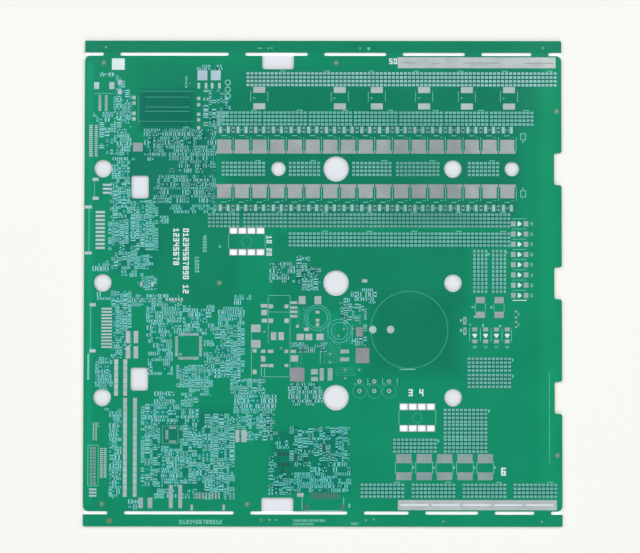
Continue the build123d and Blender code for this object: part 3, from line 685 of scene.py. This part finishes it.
# Left, bottom, right, top, whether its shelves stand on end, and how full they are.
part_areas = [
    # above and left of the first strap window
    (-141, 129.6, -131, 132.6, False, 0.8), (-130.5, 119, -121.5, 131, True, 0.75),
    (-145, 101, -131.5, 108, False, 0.8), (-141, 80.5, -130, 101, True, 0.85),
    (-132, 97, -120.5, 119, True, 0.85), (-130, 80, -120.5, 97, False, 0.92),
    (-133, 63, -121.5, 80, False, 0.9), (-134, 40, -121, 63, True, 0.9),
    # dense band and the blocks below it
    (-113, 79.5, -67, 97, False, 0.83), (-120.5, 76.5, -104, 80, False, 0.74),
    (-97, 69, -67.5, 79.5, False, 0.81), (-107, 50, -67.5, 69, False, 0.83),
    (-97, 43.5, -67.5, 50, False, 0.7), (-121, 20, -103, 52, True, 0.93),
    (-135, 20, -121, 40, True, 0.93), (-103, 37, -97, 42, False, 0.9),
    (-133, 8, -106, 20, True, 0.93), (-127, 3.5, -112, 8, False, 0.85),
    (-145, 7, -134, 14, False, 0.75),
    # round the supply drivers
    (-87, 119.5, -81.5, 130, True, 0.74), (-80, 133.5, -63, 137.5, False, 0.7),
    (-75.5, 98, -62, 121.5, True, 0.78), (-62, 104, -58, 118, True, 0.52),
    # round the controller
    (-142, -11, -133, -5, False, 0.85), (-133, -48, -120, -4.5, True, 0.95),
    (-120, -15, -88, -6, False, 0.88), (-116, -5, -104, 4.5, True, 0.9),
    (-111, -34, -88, -15, False, 0.85), (-110, -58, -94, -34, False, 0.85),
    (-88, -33, -68, -14, False, 0.85), (-68, -60, -49, -28, True, 0.93),
    (-66, -28, -49, -14, False, 0.85), (-56, -14, -45, -7, False, 0.85),
    (-75, -60, -68, -36, False, 0.93), (-92, -66, -75, -51.5, True, 0.93),
    (-84, -71, -68, -60, True, 0.9), (-143, -67, -131.5, -45.5, False, 0.93),
    # below the second strap window
    (-106, -76, -92, -67, False, 0.85), (-89, -78, -77, -69, True, 0.9),
    (-108, -87.5, -77, -76, False, 0.92), (-114, -128, -101.5, -76, True, 0.88),
    (-134, -134, -126, -79, False, 0.95), (-140, -82, -134, -78, False, 0.8),
    (-89.5, -126, -74, -87.5, True, 0.92), (-101.5, -128, -89.5, -101.5, False, 0.92),
    (-74, -136, -55, -82, True, 0.92), (-122, -142, -113, -135.5, False, 0.85),
    (-106, -135, -75, -128, False, 0.75),
    # middle of the board
    (-58, -70, -36, -60, True, 0.93), (-56, -82, -29, -70, False, 0.93),
    (-58, -92, -30, -82, True, 0.93), (-54, -99, -28, -92, True, 0.9),
    (-34, -104, -20, -96, False, 0.61), (-22, -77, 0, -62.5, False, 0.74),
    (-34, 0, -17.5, 13, False, 0.7), (-16.8, -8, -8, 17, True, 0.8),
    (-8, -5, 0, 10, True, 0.74), (17, -13, 34, -3, False, 0.74),
    (11, -26, 28, -13, True, 0.8), (10, -14, 17, -9.5, False, 0.7),
    (-20, -44, 3, -36.5, False, 0.7), (18, -40, 28, -26, True, 0.74),
    # sensing block at the bottom
    (-21, -112, 17, -90, True, 0.74), (-34, -119, -29, -103, True, 0.74),
    (-18, -131, 18, -112, False, 0.77), (-34, -133, -18, -119, True, 0.77)]


def quad_lands():
    """Lands of the small square part, and single lands that stand alone on the board."""
    lands = [(26.2, 1.2, 3.4, 2.0, 0.0)] + [(-97.6, -92.6 - 0.65 * i, 1.7, 0.36, 0.0) for i in range(9)]
    lands += [(-96.0 + 0.65 * i, y, 0.36, 1.3, 0.0) for i in range(7) for y in (-90.9, -99.5)]
    lands += [(-119.0, y, 2.0, 2.2, 0.0) for y in (116.5, 113.0, 106.5, 103.0)]
    lands += [(-78.3, y, 2.0, 2.0, 0.0) for y in (116.0, 112.0, 106.0, 102.5, 97.5)]
    lands += [(-98.0 + 1.9 * i, -10.5, 1.2, 1.9, 0.0) for i in range(6)]
    lands += [(-114.0, -1.0, 1.6, 3.0, 0.0), (-107.0, -1.0, 1.6, 3.0, 0.0),
              (-14.0, -132.7, 4.0, 2.3, 0.0), (-53.5, -96.0, 2.4, 7.6, 0.0),
              (-49.3, -96.0, 3.5, 7.6, 0.0)]
    return lands


converter_small_lands = [  # left, bottom, right, top
    (-44.0, -43.8, -41.5, -41.5), (-38.8, -44.0, -36.0, -42.0), (-34.5, -44.0, -31.0, -42.0),
    (-24.0, -44.0, -21.8, -42.0), (-20.0, -44.0, -17.0, -42.0), (-38.8, -49.5, -36.0, -46.0),
    (-39.0, -52.8, -34.5, -51.0), (-34.0, -53.0, -31.0, -51.0), (-24.0, -52.8, -21.7, -51.0),
    (-44.0, -57.3, -41.5, -54.5), (-20.0, -49.5, -15.5, -45.5), (-16.9, -28.2, -15.1, -26.4),
    (-11.8, -30.2, -8.8, -28.2), (-34.0, -16.0, -31.4, -13.6), (-24.0, -16.0, -21.6, -13.6),
    (-34.0, -25.2, -31.2, -22.4), (-24.0, -25.2, -21.4, -22.4), (-39.0, -15.6, -34.8, -13.4),
    (-38.6, -20.4, -35.0, -17.0), (-38.4, -25.0, -35.0, -22.6), (-4.6, -19.4, -2.2, -17.6),
    (-4.6, -24.4, -2.2, -22.6), (-4.4, -27.4, -2.4, -25.2), (11.6, -44.0, 16.4, -42.0),
    (11.6, -48.8, 16.4, -46.8), (-7.4, -57.4, -3.2, -54.6), (-7.4, -61.6, -3.2, -59.0),
    (-1.8, -61.0, 0.6, -53.6), (3.0, -61.0, 6.0, -53.6)]
converter_small_lands += [(-20.4, y - 0.8, -16.0, y + 0.8) for y in (-12.5, -15.6, -18.2, -21.0)]
single_lands = quad_lands() + [bar(*box) for box in converter_small_lands]

# The small parts keep clear of these larger lands.
nodes_kept_clear = (
    "controller_lands", "converter_lands", "power_inductor_lands", "fuse_lands",
    "balance_lands_long", "balance_lands_short", "relay_driver_lands", "current_sense_lands",
    "shield_clip_land", "supply_driver_lands", "pack_connector_lands", "cell_connector_lands",
    "sensor_connector_lands", "isolator_lands", "memory_lands", "service_connector_lands",
    "display_connector_lands", "input_filter_lands", "fiducial_discs")
large_boxes = [box for node in nodes_kept_clear for box in solids_of(node)]
large_boxes += [(x - width / 2, y - height / 2, x + width / 2, y + height / 2)
                for x, y, width, height, _ in single_lands]


def keeps_off(plate, boxes):
    """Whether a plate, straight or turned by a quarter, lies clear of boxes given by their edges."""
    x, y, width, height, turn = plate
    if abs(math.cos(turn)) < 0.5:
        width, height = height, width
    x_reach, y_reach = width / 2 - 0.01, height / 2 - 0.01
    return not any(left - x_reach < x < right + x_reach and bottom - y_reach < y < top + y_reach
                   for left, bottom, right, top in boxes)


# The crowded field at the top left looks duller than the rest, and the sensing block sharper:
# left, bottom, right and top, the finish of its lands, and its legend.
own_fields = {"dim": (-114, 42, -62, 98, "tin of dim specks", ink_dim),
              "sharp": (-35, -134, 19, -89, "tin of sharp specks", ink_sharp)}
groups = {"small": ([], [], "tin of specks", ink_thin)}
for field_name, (*_, tin, legend) in own_fields.items():
    groups[field_name] = ([], [], tin, legend)


def group_of(area_left, area_bottom, area_right, area_top):
    """The group of pieces that an area belongs to."""
    for name, (left, bottom, right, top, *_) in own_fields.items():
        if left < area_left and bottom < area_bottom and area_right < right and area_top < top:
            return groups[name]
    return groups["small"]


# Where two areas cross, the first one keeps the place.
all_rooms, filled = [], []
for area in part_areas:
    area_lands, area_marks, area_rooms = fill_area(*area)
    group_lands, group_marks, *_ = group_of(*area[:4])
    taken = large_boxes + filled
    group_lands.extend(plate for plate in area_lands if keeps_off(plate, taken))
    group_marks.extend(plate for plate in area_marks if keeps_off(plate, taken))
    all_rooms += [room for room in area_rooms if keeps_off(room, filled)]
    filled.append(area[:4])
plates_piece("part_clearances", all_rooms, mask_top, room_top, mask_cleared)
for group_name, (lands, marks, tin, legend) in groups.items():
    lands_piece(f"{group_name}_lands", lands, tin)
    print_piece(f"{group_name}_legend", marks, legend, ink_over_trace)


# ================================================================ legend of the power half
def transistor_legend():
    """Lines between the tab lands, a dash over each tab, and the gate parts between the leads."""
    lands, marks = [], []
    for side, node in ((1, "upper"), (-1, "lower")):
        tabs = sorted(solids_of(f"{node}_tab_lands"))
        lead_low, lead_high = span(f"{node}_lead_lands")[1::2]
        lead_y = (lead_low + lead_high) / 2
        pitch = tabs[1][0] - tabs[0][0]
        for left, bottom, right, top in tabs:
            middle = (left + right) / 2
            outer = top if side > 0 else bottom
            near_end, far_end = sorted((outer - side * 7.2, outer + side * 1.6))
            marks.append(upright(middle + pitch / 2, near_end, far_end, 0.34))
            marks.append(level(outer + side * 2.5, middle - 1.9, middle + 1.5, 0.42))
            marks.append(level(outer + side * 1.5, middle + 2.4, middle + 4.0, 0.26))
            for shift in (-pitch / 2, 0.0):
                gate = middle + shift
                marks += [upright(gate - 1.0, lead_y - 1.9, lead_y + 1.9, 0.2),
                          upright(gate + 1.0, lead_y - 1.9, lead_y + 1.9, 0.2)]
            lands += [(middle - pitch / 2, lead_y + step, 1.0, 1.1, 0.0) for step in (-1.25, 1.25)]
            marks.append(level(lead_y, middle - 0.7, middle + 0.7, 0.5))
    return lands, marks


def window_marks():
    """A short dash over the right end of each field of windows, or beside it where fields stack."""
    marks = []
    for name in window_nodes:
        stacked = name in ("window_field_pair", "window_field_stack")
        for left, _, right, top in fields_of(name):
            if stacked:
                marks.append(upright(right + 1.0, top - 2.4, top - 0.6, 0.9))
            elif right - left > 10:
                marks.append(level(top + 0.75, right - 6.2, right - 2.6, 0.45))
    return marks


def shunt_legend():
    """Uprights beside each shunt, between its two lands, and a mark on its right."""
    marks = []
    shunts = solids_of("shunt_lands")
    lower_top = min(box[3] for box in shunts)
    for left, bottom, right, _ in (box for box in shunts if box[1] > lower_top):
        marks += [upright(left - 0.5, lower_top - 1.0, bottom + 1.0, 0.32),
                  upright(right + 0.4, lower_top - 1.0, bottom + 1.0, 0.32),
                  (right + 1.2, lower_top + 3.0, 0.9, 1.4, 0.0)]
    return marks


def loop_marks():
    """A small drawn loop with a stem after each transistor row."""
    marks = []
    for x, y, side in ((125.8, 92.0, -1), (125.8, 56.0, 1)):
        marks += frame_lines(x - 1.8, y - 2.2, x + 1.8, y + 2.2, 0.5)
        marks.append((x, y + side * 3.2, 0.6, 1.6, 0.0))
    return marks


def slot_shade_streaks():
    """Darker streaks along the supply strip where its slots lie: painted shade."""
    return [level(138.6, 49.0, 58.0, 0.45), level(138.2, 68.0, 73.5, 0.35),
            level(138.5, 88.0, 111.0, 0.5), level(138.4, 127.0, 145.0, 0.6),
            level(137.3, 92.0, 104.0, 0.3), level(137.2, 130.0, 138.0, 0.3)]


def precharge_legend():
    """Uprights on both sides of each large resistor, between its two lands, and its figures."""
    marks = []
    for left, bottom, right, top in solids_of("precharge_lands"):
        if bottom > 112:
            middle = (left + right) / 2
            for x in (middle - 5.4, middle + 5.4):
                marks.append(upright(x, bottom - 5.6, bottom + 1.0, 0.3))
            marks += number(str(10 + round(right) % 80), middle - 4.0, top - 7.6, 1.0)
    return marks


def snubber_legend():
    """Uprights and a mark at each snubber, and two marks beside the diodes."""
    marks = []
    for left, bottom, right, _ in solids_of("snubber_lands"):
        if bottom > -15:
            marks += [upright(left - 0.2, bottom - 5.2, bottom - 0.3, 0.3),
                      upright(right + 0.2, bottom - 5.2, bottom - 0.3, 0.3),
                      (left - 1.9, bottom - 2.4, 1.2, 1.5, 0.0)]
    return marks + [(103.8, 18.1, 1.2, 1.6, 0.0), (115.2, 19.2, 1.0, 1.2, 0.0)]


def diode_legend():
    """A solid arrow in each diode, lines between the diodes, and their figures."""
    bright, thin = [], []
    for left, bottom, right, top in solids_of("diode_column_lands"):
        if left < 122:
            y = (bottom + top) / 2
            bright += [(122.9, y, 1.3, 2.7, 0.0), (124.05, y, 1.0, 1.5, 0.0)]
            thin += [level(y + 3.2, 119.0, 127.8, 0.32)]
            thin += number(str(20 + round(left + top) % 70), 130.3, y + 1.0, 1.5, DOWN)
    bright.append(level(-10.9, 119.0, 127.8, 0.5))
    for left, bottom, right, top in solids_of("diode_row_lands"):
        if bottom > -32:
            x = (left + right) / 2
            bright += [(x, -32.6, 2.7, 1.4, 0.0), (x, -33.8, 1.5, 1.0, 0.0)]
            thin += [upright(x - 3.3, -36.8, -28.4, 0.32)]
            thin += number(str(30 + round(left) % 60), x - 1.0, -41.0, 1.5)
    thin += [upright(118.3, -36.8, -28.4, 0.32), (100.4, -26.6, 0.9, 2.2, 0.0),
             (92.4, -26.2, 0.8, 1.4, 0.0), (111.2, -27.0, 1.2, 1.4, 0.0)]
    return bright, thin


def clamp_parts():
    """Three-legged parts on both sides of the diode row."""
    lands = [(89.0, y, 1.9, 1.3, 0.0) for y in (-22.0, -25.4, -28.6, -32.0)]
    lands += [(x, y, 0.7, 2.1, 0.0) for x in (88.3, 89.8) for y in (-23.7, -30.3)]
    lands += [(121.2, y, 1.5, 1.1, 0.0) for y in (-18.0, -21.6, -24.6, -27.6)]
    marks = [(86.6, -23.6, 1.2, 1.6, 0.0), (86.6, -29.8, 1.2, 1.8, 0.0),
             (122.8, -19.6, 0.5, 1.8, 0.0), (122.8, -26.2, 0.5, 1.8, 0.0),
             (94.7, -15.2, 1.2, 1.5, 0.0), (95.2, -21.2, 1.4, 1.2, 0.0)]
    return lands, marks


def terminal_legend():
    """Uprights beside each terminal, and the plain figures that number the poles."""
    thin, bright = [], []
    for node in ("battery_terminal_barrels", "load_terminal_barrels"):
        left, bottom, right, top = span(node)
        inner_low, inner_high = bottom + 4.4, top - 4.4
        thin += [upright(left - 0.4, inner_low, inner_high, 0.3),
                 upright(right + 0.4, inner_low, inner_high, 0.3)]
    bright += number("10", -35.4, 29.4, 3.3, DOWN) + number("20", -35.4, 21.6, 3.3, DOWN)
    bright += number("3", 53.7, -71.0, 4.4) + number("4", 60.4, -71.0, 4.4)
    bright += number("50", 41.6, 137.8, 3.6) + number("6", 111.6, -120.6, 5.0)
    return thin, bright


def capacitor_legend():
    """The flat side of each can, its pole mark, and the bar of the coil."""
    marks = [level(-54.25, 48.0, 58.0, 0.55)]
    for x in (23.2, 32.4, 41.6):
        marks += [upright(x + 5.0, -64.2, -59.8, 0.35), (x - 3.0, -63.4, 1.3, 0.4, 0.0)]
    return marks


# Printed circles: x, y, radius and line.
drawn_circles = [(54.2, -29.5, 24.2, 0.42), (-47.9, 25.8, 3.2, 0.4), (59.2, -84.6, 3.0, 0.4),
                 (23.0, -68.0, 4.4, 0.3), (32.4, -68.0, 4.4, 0.3), (41.6, -68.0, 4.4, 0.3)]
converter_circles = [(-3.4, -22.0, 8.0, 0.4), (-3.4, -22.0, 6.4, 0.4),
                     (10.4, -30.2, 7.4, 0.4), (10.4, -30.2, 5.4, 0.4)]
linked_rings = [(-60.0, y, 1.6, 0.65) for y in (126.0, 121.6, 117.4)]

transistor_lands, transistor_marks = transistor_legend()
diode_bright, diode_thin = diode_legend()
clamp_lands, clamp_marks = clamp_parts()
terminal_thin, terminal_bright = terminal_legend()
lands_piece("gate_part_lands", transistor_lands + clamp_lands, "tin of small lands")
print_piece("transistor_legend", transistor_marks, ink_pale)
print_piece("power_legend", window_marks() + precharge_legend() + snubber_legend() + shunt_legend()
            + loop_marks() + diode_thin + clamp_marks + terminal_thin + capacitor_legend(), ink_pale)
# Painted shade of the supply strip's slots, laid on the strip as dull tin.
plates_piece("slot_shade_streaks", slot_shade_streaks(), land_top, land_top + 0.01 * MM,
             tins["tin of dull lands"])
# The mask between the leads is darker, in one band along each row.
lead_bands = [bar(left - 0.8, bottom - 0.4, right + 0.8, top + 0.4)
              for left, bottom, right, top in (span("upper_lead_lands"), span("lower_lead_lands"))]
plates_piece("lead_clearances", lead_bands, mask_top, trace_top, mask_webs)
print_piece("pole_signs", terminal_bright + diode_bright, ink)
rings_piece("drawn_circles", drawn_circles, ink_faint)
rings_piece("converter_circles", converter_circles, ink_blue)
rings_piece("linked_rings", linked_rings, ink_pale, steps=20)
# The coil's two pins have wider lands than their barrels.
pin_lands = bmesh.new()
for left, bottom, right, top in solids_of("coil_barrels"):
    add_ring(pin_lands, (left + right) / 2, (bottom + top) / 2, 1.85, 1.0, mask_top,
             small_land_top, steps=20)
finish_piece("coil_lands", pin_lands, tins["tin of bright lands"])


# ================================================================ legend of the logic half
def title_block():
    """Plain figures that read down the board, where its title would be printed."""
    return (number("12345678", -94.0, 34.0, 3.7, DOWN)
            + number("01234567890 12", -87.9, 34.0, 3.7, DOWN))


def small_titles():
    """Small columns of figures and a short sign beside the title."""
    return (number("10203", -80.4, 16.4, 2.6, DOWN) + number("405060", -75.4, 29.8, 2.3, DOWN)
            + [(-64.4, 22.3, 1.6, 0.5, 0.6), (-65.2, 23.0, 0.5, 1.4, 0.0)])


def rail_marks():
    """Plain figures on the lower breakaway rail, and two marks on the upper one."""
    figures = number("0123456789012", -89.6, -150.9, 2.6)
    figures += number("345678901234567890", -18.6, -149.4, 1.4)
    figures += number("012345678901", -18.6, -151.6, 1.4) + number("4567", 17.6, -151.4, 1.6)
    return figures + [(-40.0, 147.8, 2.6, 0.5, 0.0), (28.7, 147.5, 1.6, 1.8, 0.0)]


def edge_legend():
    """Thin outlines of the connectors along the left and lower edges, and lines beside them."""
    marks = [upright(-143.6, 52.0, 65.0), upright(-147.0, 18.0, 48.0), upright(-145.7, -44.0, -13.0),
             upright(-147.0, -127.0, -102.0), upright(-140.5, -127.0, -102.0),
             upright(-147.0, -61.0, -44.5, 1.2), level(119.0, -144.0, -131.5),
             level(131.2, -140.4, -131.2, 0.5), stroke(-134.0, -131.0, -131.0, -135.0, 0.5),
             level(-90.0, -140.8, -139.5), level(-88.0, -140.8, -139.5), upright(-141.0, -90.2, -87.8),
             level(-101.8, -147.0, -140.5), level(-127.2, -147.0, -140.5),
             upright(-12.9, -142.2, -134.0, 0.4), upright(13.1, -142.2, -134.0, 0.4),
             level(-142.5, -12.0, 12.2, 0.35), upright(16.6, -140.6, -138.2, 1.0)]
    marks += [upright(142.0, -113.0, -56.0, 0.22)]
    marks += number("2468", -88.0, 97.0, 1.2)
    return marks


def relay_outline():
    """Faint lines over the dark copper panel at the top left."""
    return ([level(y, -116.0, -81.5, 0.34) for y in (120.5, 101.5)]
            + [level(y, -112.0, -84.0, 0.4) for y in (116.8, 110.5, 107.8)]
            + [upright(-116.3, 99.0, 118.0, 0.4)])


def balance_lines():
    """A printed line in the gap between each two lands of the balance resistors."""
    marks = []
    for node in ("balance_lands_long", "balance_lands_short"):
        columns = {}
        for left, bottom, right, top in solids_of(node):
            columns.setdefault(round(left), []).append((bottom, top, left, right))
        for lands in columns.values():
            lands.sort()
            for (_, end, left, right), (start, *_) in zip(lands, lands[1:]):
                if start - end < 3:
                    marks.append(bar(left, end + 0.12, right, start - 0.12))
    return marks


def controller_marks():
    """The corner mark of the controller, and the box and dots of the small square part below it."""
    return [(-89.3, -44.9, 1.4, 1.1, 0.0), (-97.5, -88.3, 0.8, 0.7, 0.0), (-95.3, -88.3, 0.8, 0.7, 0.0),
            (-92.8, -88.3, 0.8, 0.7, 0.0)] + frame_lines(-100.5, -100.8, -90.5, -89.6, 0.22)


# Middles of the test dots.
converter_dots = [(13.2, -29.0), (14.0, -54.5), (14.0, -59.8), (4.5, -50.0), (4.5, -44.5),
                  (22.7, -54.5), (-36.6, -30.8), (-26.2, -41.0), (9.8, -33.2)]
rail_dots = [(-136.8, 148.3), (23.3, 147.8), (138.7, 148.0), (-33.2, -148.3), (-29.0, -148.3),
             (27.0, -148.5), (32.0, -148.0), (75.5, -149.3), (137.0, -149.3), (-34.6, 147.8),
             (-32.4, 147.8)]


def converter_legend():
    """Outlines of the two switching stages."""
    return [upright(-34.3, -38.0, -8.0, 0.26), upright(-20.6, -58.5, -8.0, 0.26),
            upright(-44.8, -59.0, -26.0, 0.26), upright(-38.5, -58.8, -53.4, 0.4),
            upright(-36.5, -58.8, -53.4, 0.4), level(-8.0, -34.1, -20.8, 0.26),
            level(-18.4, -34.1, -20.8, 0.26), level(-59.0, -38.0, -21.0, 0.26),
            upright(18.4, -38.0, -26.0, 0.3), upright(-1.6, -51.0, -42.5, 0.3)]


def hatching(left, bottom, right, top, step=1.15, line=0.3):
    """Short slanting strokes that fill an area."""
    marks = []
    y = bottom
    while y < top:
        x = left + random.uniform(0.0, step)
        while x < right:
            marks.append(stroke(x, y, x + random.uniform(0.1, 0.6), y + random.uniform(-0.3, 0.3), line))
            x += step * random.uniform(0.9, 1.9)
        y += step
    return marks


# Left, bottom, right and top of the hatched areas, and of the dark prints.
hatched_areas = [(0.0, -50.0, 12.0, -37.0), (8.0, -58.0, 20.0, -52.5), (-2.0, -36.0, 4.0, -30.0),
                 (5.5, -36.0, 8.0, -26.0), (14.0, -38.0, 18.0, -32.0), (-13.0, -28.0, -9.0, -15.0),
                 (-18.0, -54.0, -13.0, -43.0), (-16.0, -26.0, -14.0, -16.0)]
dark_places = [(x, y, x + 1.9, y + 2.3) for x in (-28.0, -25.3, -22.6) for y in (-108.5, -115.0)]
dark_places += [(-18.0, -112.0, -16.5, -107.0), (-11.5, -112.0, -10.0, -107.5),
                (-0.7, -109.0, 2.7, -99.5), (-26.0, -122.0, -24.0, -117.0),
                (-19.5, -122.0, -18.0, -119.0)]

print_piece("title_figures", title_block(), ink)
print_piece("faint_lines", relay_outline(), ink_faint)
print_piece("balance_legend", balance_lines(), ink_thin)
print_piece("logic_legend", small_titles() + rail_marks() + edge_legend() + controller_marks()
            + converter_legend(), ink_pale)
hatch_marks = [mark for area in hatched_areas for mark in hatching(*area)]
print_piece("hatched_legend", hatch_marks, ink_blue, trace_top)
lands_piece("single_lands", single_lands, "tin")
plates_piece("dark_prints", [bar(*box) for box in dark_places], mask_top, trace_top, dark_land)

dots = bmesh.new()
add_discs(dots, converter_dots, 0.85, mask_top, small_land_top)
add_discs(dots, rail_dots, 0.7, mask_top, small_land_top)
finish_piece("test_dots", dots, tins["tin of marks"])

# The mask is cleared round each fiducial, and in two round spots of the lower rail.
tan_rings = bmesh.new()
for left, bottom, right, top in solids_of("fiducial_discs"):
    add_ring(tan_rings, (left + right) / 2, (bottom + top) / 2, 1.45, 0.5, mask_top, ink_top,
             steps=20)
add_discs(tan_rings, [(-133.5, -149.0)], 1.7, mask_top, ink_top, 16)
add_discs(tan_rings, [(-38.5, -148.3)], 1.1, mask_top, ink_top, 16)
finish_piece("fiducial_clearings", tan_rings, ring_tan)


# ================================================================ underside
dash_step = 5.08
via_step = 4.03
control_via_step = 3.1


def underside_legend():
    """Plain figures, a box round each group of barrels, and dashes, to be read from below."""
    marks = number("0123456789", -60.0, -20.0, 4.0) + number("12345", -60.0, -28.0, 3.0)
    for node in ("battery_terminal_barrels", "load_terminal_barrels", "relay_barrels",
                 "capacitor_barrels", "coil_barrels", "header_barrels"):
        left, bottom, right, top = span(node)
        marks += frame_lines(-right - 1.6, bottom - 1.6, -left + 1.6, top + 1.6, 0.3)
    starts = [-142.0 + dash_step * i for i in range(40)]
    marks += [level(y, start, start + 2.5, 0.4) for start in starts for y in (118.5, 134.5)]
    return [(-x, y, width, height, -turn) for x, y, width, height, turn in marks]


def underside_vias():
    """Rows of small tinned via lands under the transistor rows and round the controller."""
    spots = [(-58.0 + via_step * i, y) for i in range(42) for y in (46, 50, 54, 92, 96, 100)]
    return spots + [(-118.0 + control_via_step * i, y) for i in range(18)
                    for y in (-78.0, -88.5, -101.0, -118.0)]


underside_ink = mask_bottom - (ink_top - mask_top)
underside_lands = mask_bottom - (small_land_top - mask_top)
plates_piece("underside_legend", underside_legend(), underside_ink, mask_bottom, ink_pale)
via_mesh = bmesh.new()
add_discs(via_mesh, underside_vias(), 0.4, underside_lands, mask_bottom, sides=8)
finish_piece("underside_vias", via_mesh, tins["tin of marks"])

# ================================================================ camera, light and floor
floor_half = 4.0
floor_bm = bmesh.new()
bmesh.ops.create_grid(floor_bm, x_segments=1, y_segments=1, size=floor_half)
floor_mesh = bpy.data.meshes.new("floor")
floor_bm.to_mesh(floor_mesh)
floor_bm.free()
board_left, board_bottom, board_right, board_top = span("laminate_panel")
slot_band = 9.5       # the rails and the routed slots beside them
notch_room = 5.5      # the notches in the right edge show the open floor
# Floor zones under the rails, slots and barrels, where the floor glows with painted light.
narrow_openings = [(board_left, board_bottom, board_right, board_bottom + slot_band),
                   (board_left, board_top - slot_band, board_right, board_top),
                   span("output_bus_strip"), span("battery_terminal_barrels"),
                   span("load_terminal_barrels"), span("coil_barrels")]
floor_edge = 0.5      # how soft the edges of the tones on the floor are


def floor_material():
    """A pale floor with painted shade under the board, and painted white light under its slim openings.
    """
    material, tree, shader, place = new_material("floor")
    # Painted shade: the floor is darker under the board, so that its holes look shaded.
    painted_shade_under_board = inside_zone(tree, place, board_left, board_bottom, board_right - notch_room,
                              board_top, floor_edge)
    tone = mix_colours(tree, painted_shade_under_board, colour(239, 240, 235), colour(219, 223, 231))
    tree.links.new(tone, shader.inputs["Base Color"])
    # Painted light: the floor glows white for camera and glossy rays under the slim openings, where they
    # would leave it in shade.
    painted_glow_zone = None
    for opening in narrow_openings:
        inside = inside_zone(tree, place, *opening, floor_edge)
        painted_glow_zone = inside if painted_glow_zone is None else calculate(tree, "MAXIMUM", painted_glow_zone, inside)
    ray = tree.nodes.new("ShaderNodeLightPath")
    direct = calculate(tree, "MAXIMUM", ray.outputs["Is Camera Ray"], ray.outputs["Is Glossy Ray"])
    painted_glow = calculate(tree, "MULTIPLY", calculate(tree, "MULTIPLY", painted_glow_zone, direct), 0.5)
    tree.links.new(painted_glow, shader.inputs["Emission Strength"])
    set_inputs(shader, {"Emission Color": colour(250, 252, 252), "Roughness": 0.9,
                        "Specular IOR Level": 0.0})
    return material


floor_mesh.materials.append(floor_material())
floor = bpy.data.objects.new("floor", floor_mesh)
bpy.context.scene.collection.objects.link(floor)

world = bpy.data.worlds.new("studio")
bpy.context.scene.world = world
world.use_nodes = True
set_inputs(world.node_tree.nodes["Background"], {"Color": (1, 1, 1, 1), "Strength": 0.3})

lamp_size = 1.1
lamp_power = 11.2
for lamp_name, place in (("left softbox", (-0.95, 0.6, 1.15)), ("right softbox", (0.95, 0.55, 1.15)),
                         ("front softbox", (0.0, -1.25, 1.05))):
    lamp = bpy.data.lights.new(lamp_name, "AREA")
    lamp.shape = "RECTANGLE"
    lamp.size = lamp_size
    lamp.size_y = lamp_size
    lamp.energy = lamp_power
    light = bpy.data.objects.new(lamp_name, lamp)
    light.location = place
    light.rotation_euler = Vector(place).to_track_quat("Z", "Y").to_euler()
    bpy.context.scene.collection.objects.link(light)

# The camera looks almost straight down from a metre above.
camera_data = bpy.data.cameras.new("camera")
camera_data.lens = 89.5
camera = bpy.data.objects.new("camera", camera_data)
camera.location = (-0.00225, -0.02243, 1.0)
camera.rotation_euler = (math.radians(1.512), math.radians(-0.025), math.radians(0.063))
bpy.context.scene.collection.objects.link(camera)
bpy.context.scene.camera = camera
bpy.context.scene.view_settings.view_transform = "Standard"
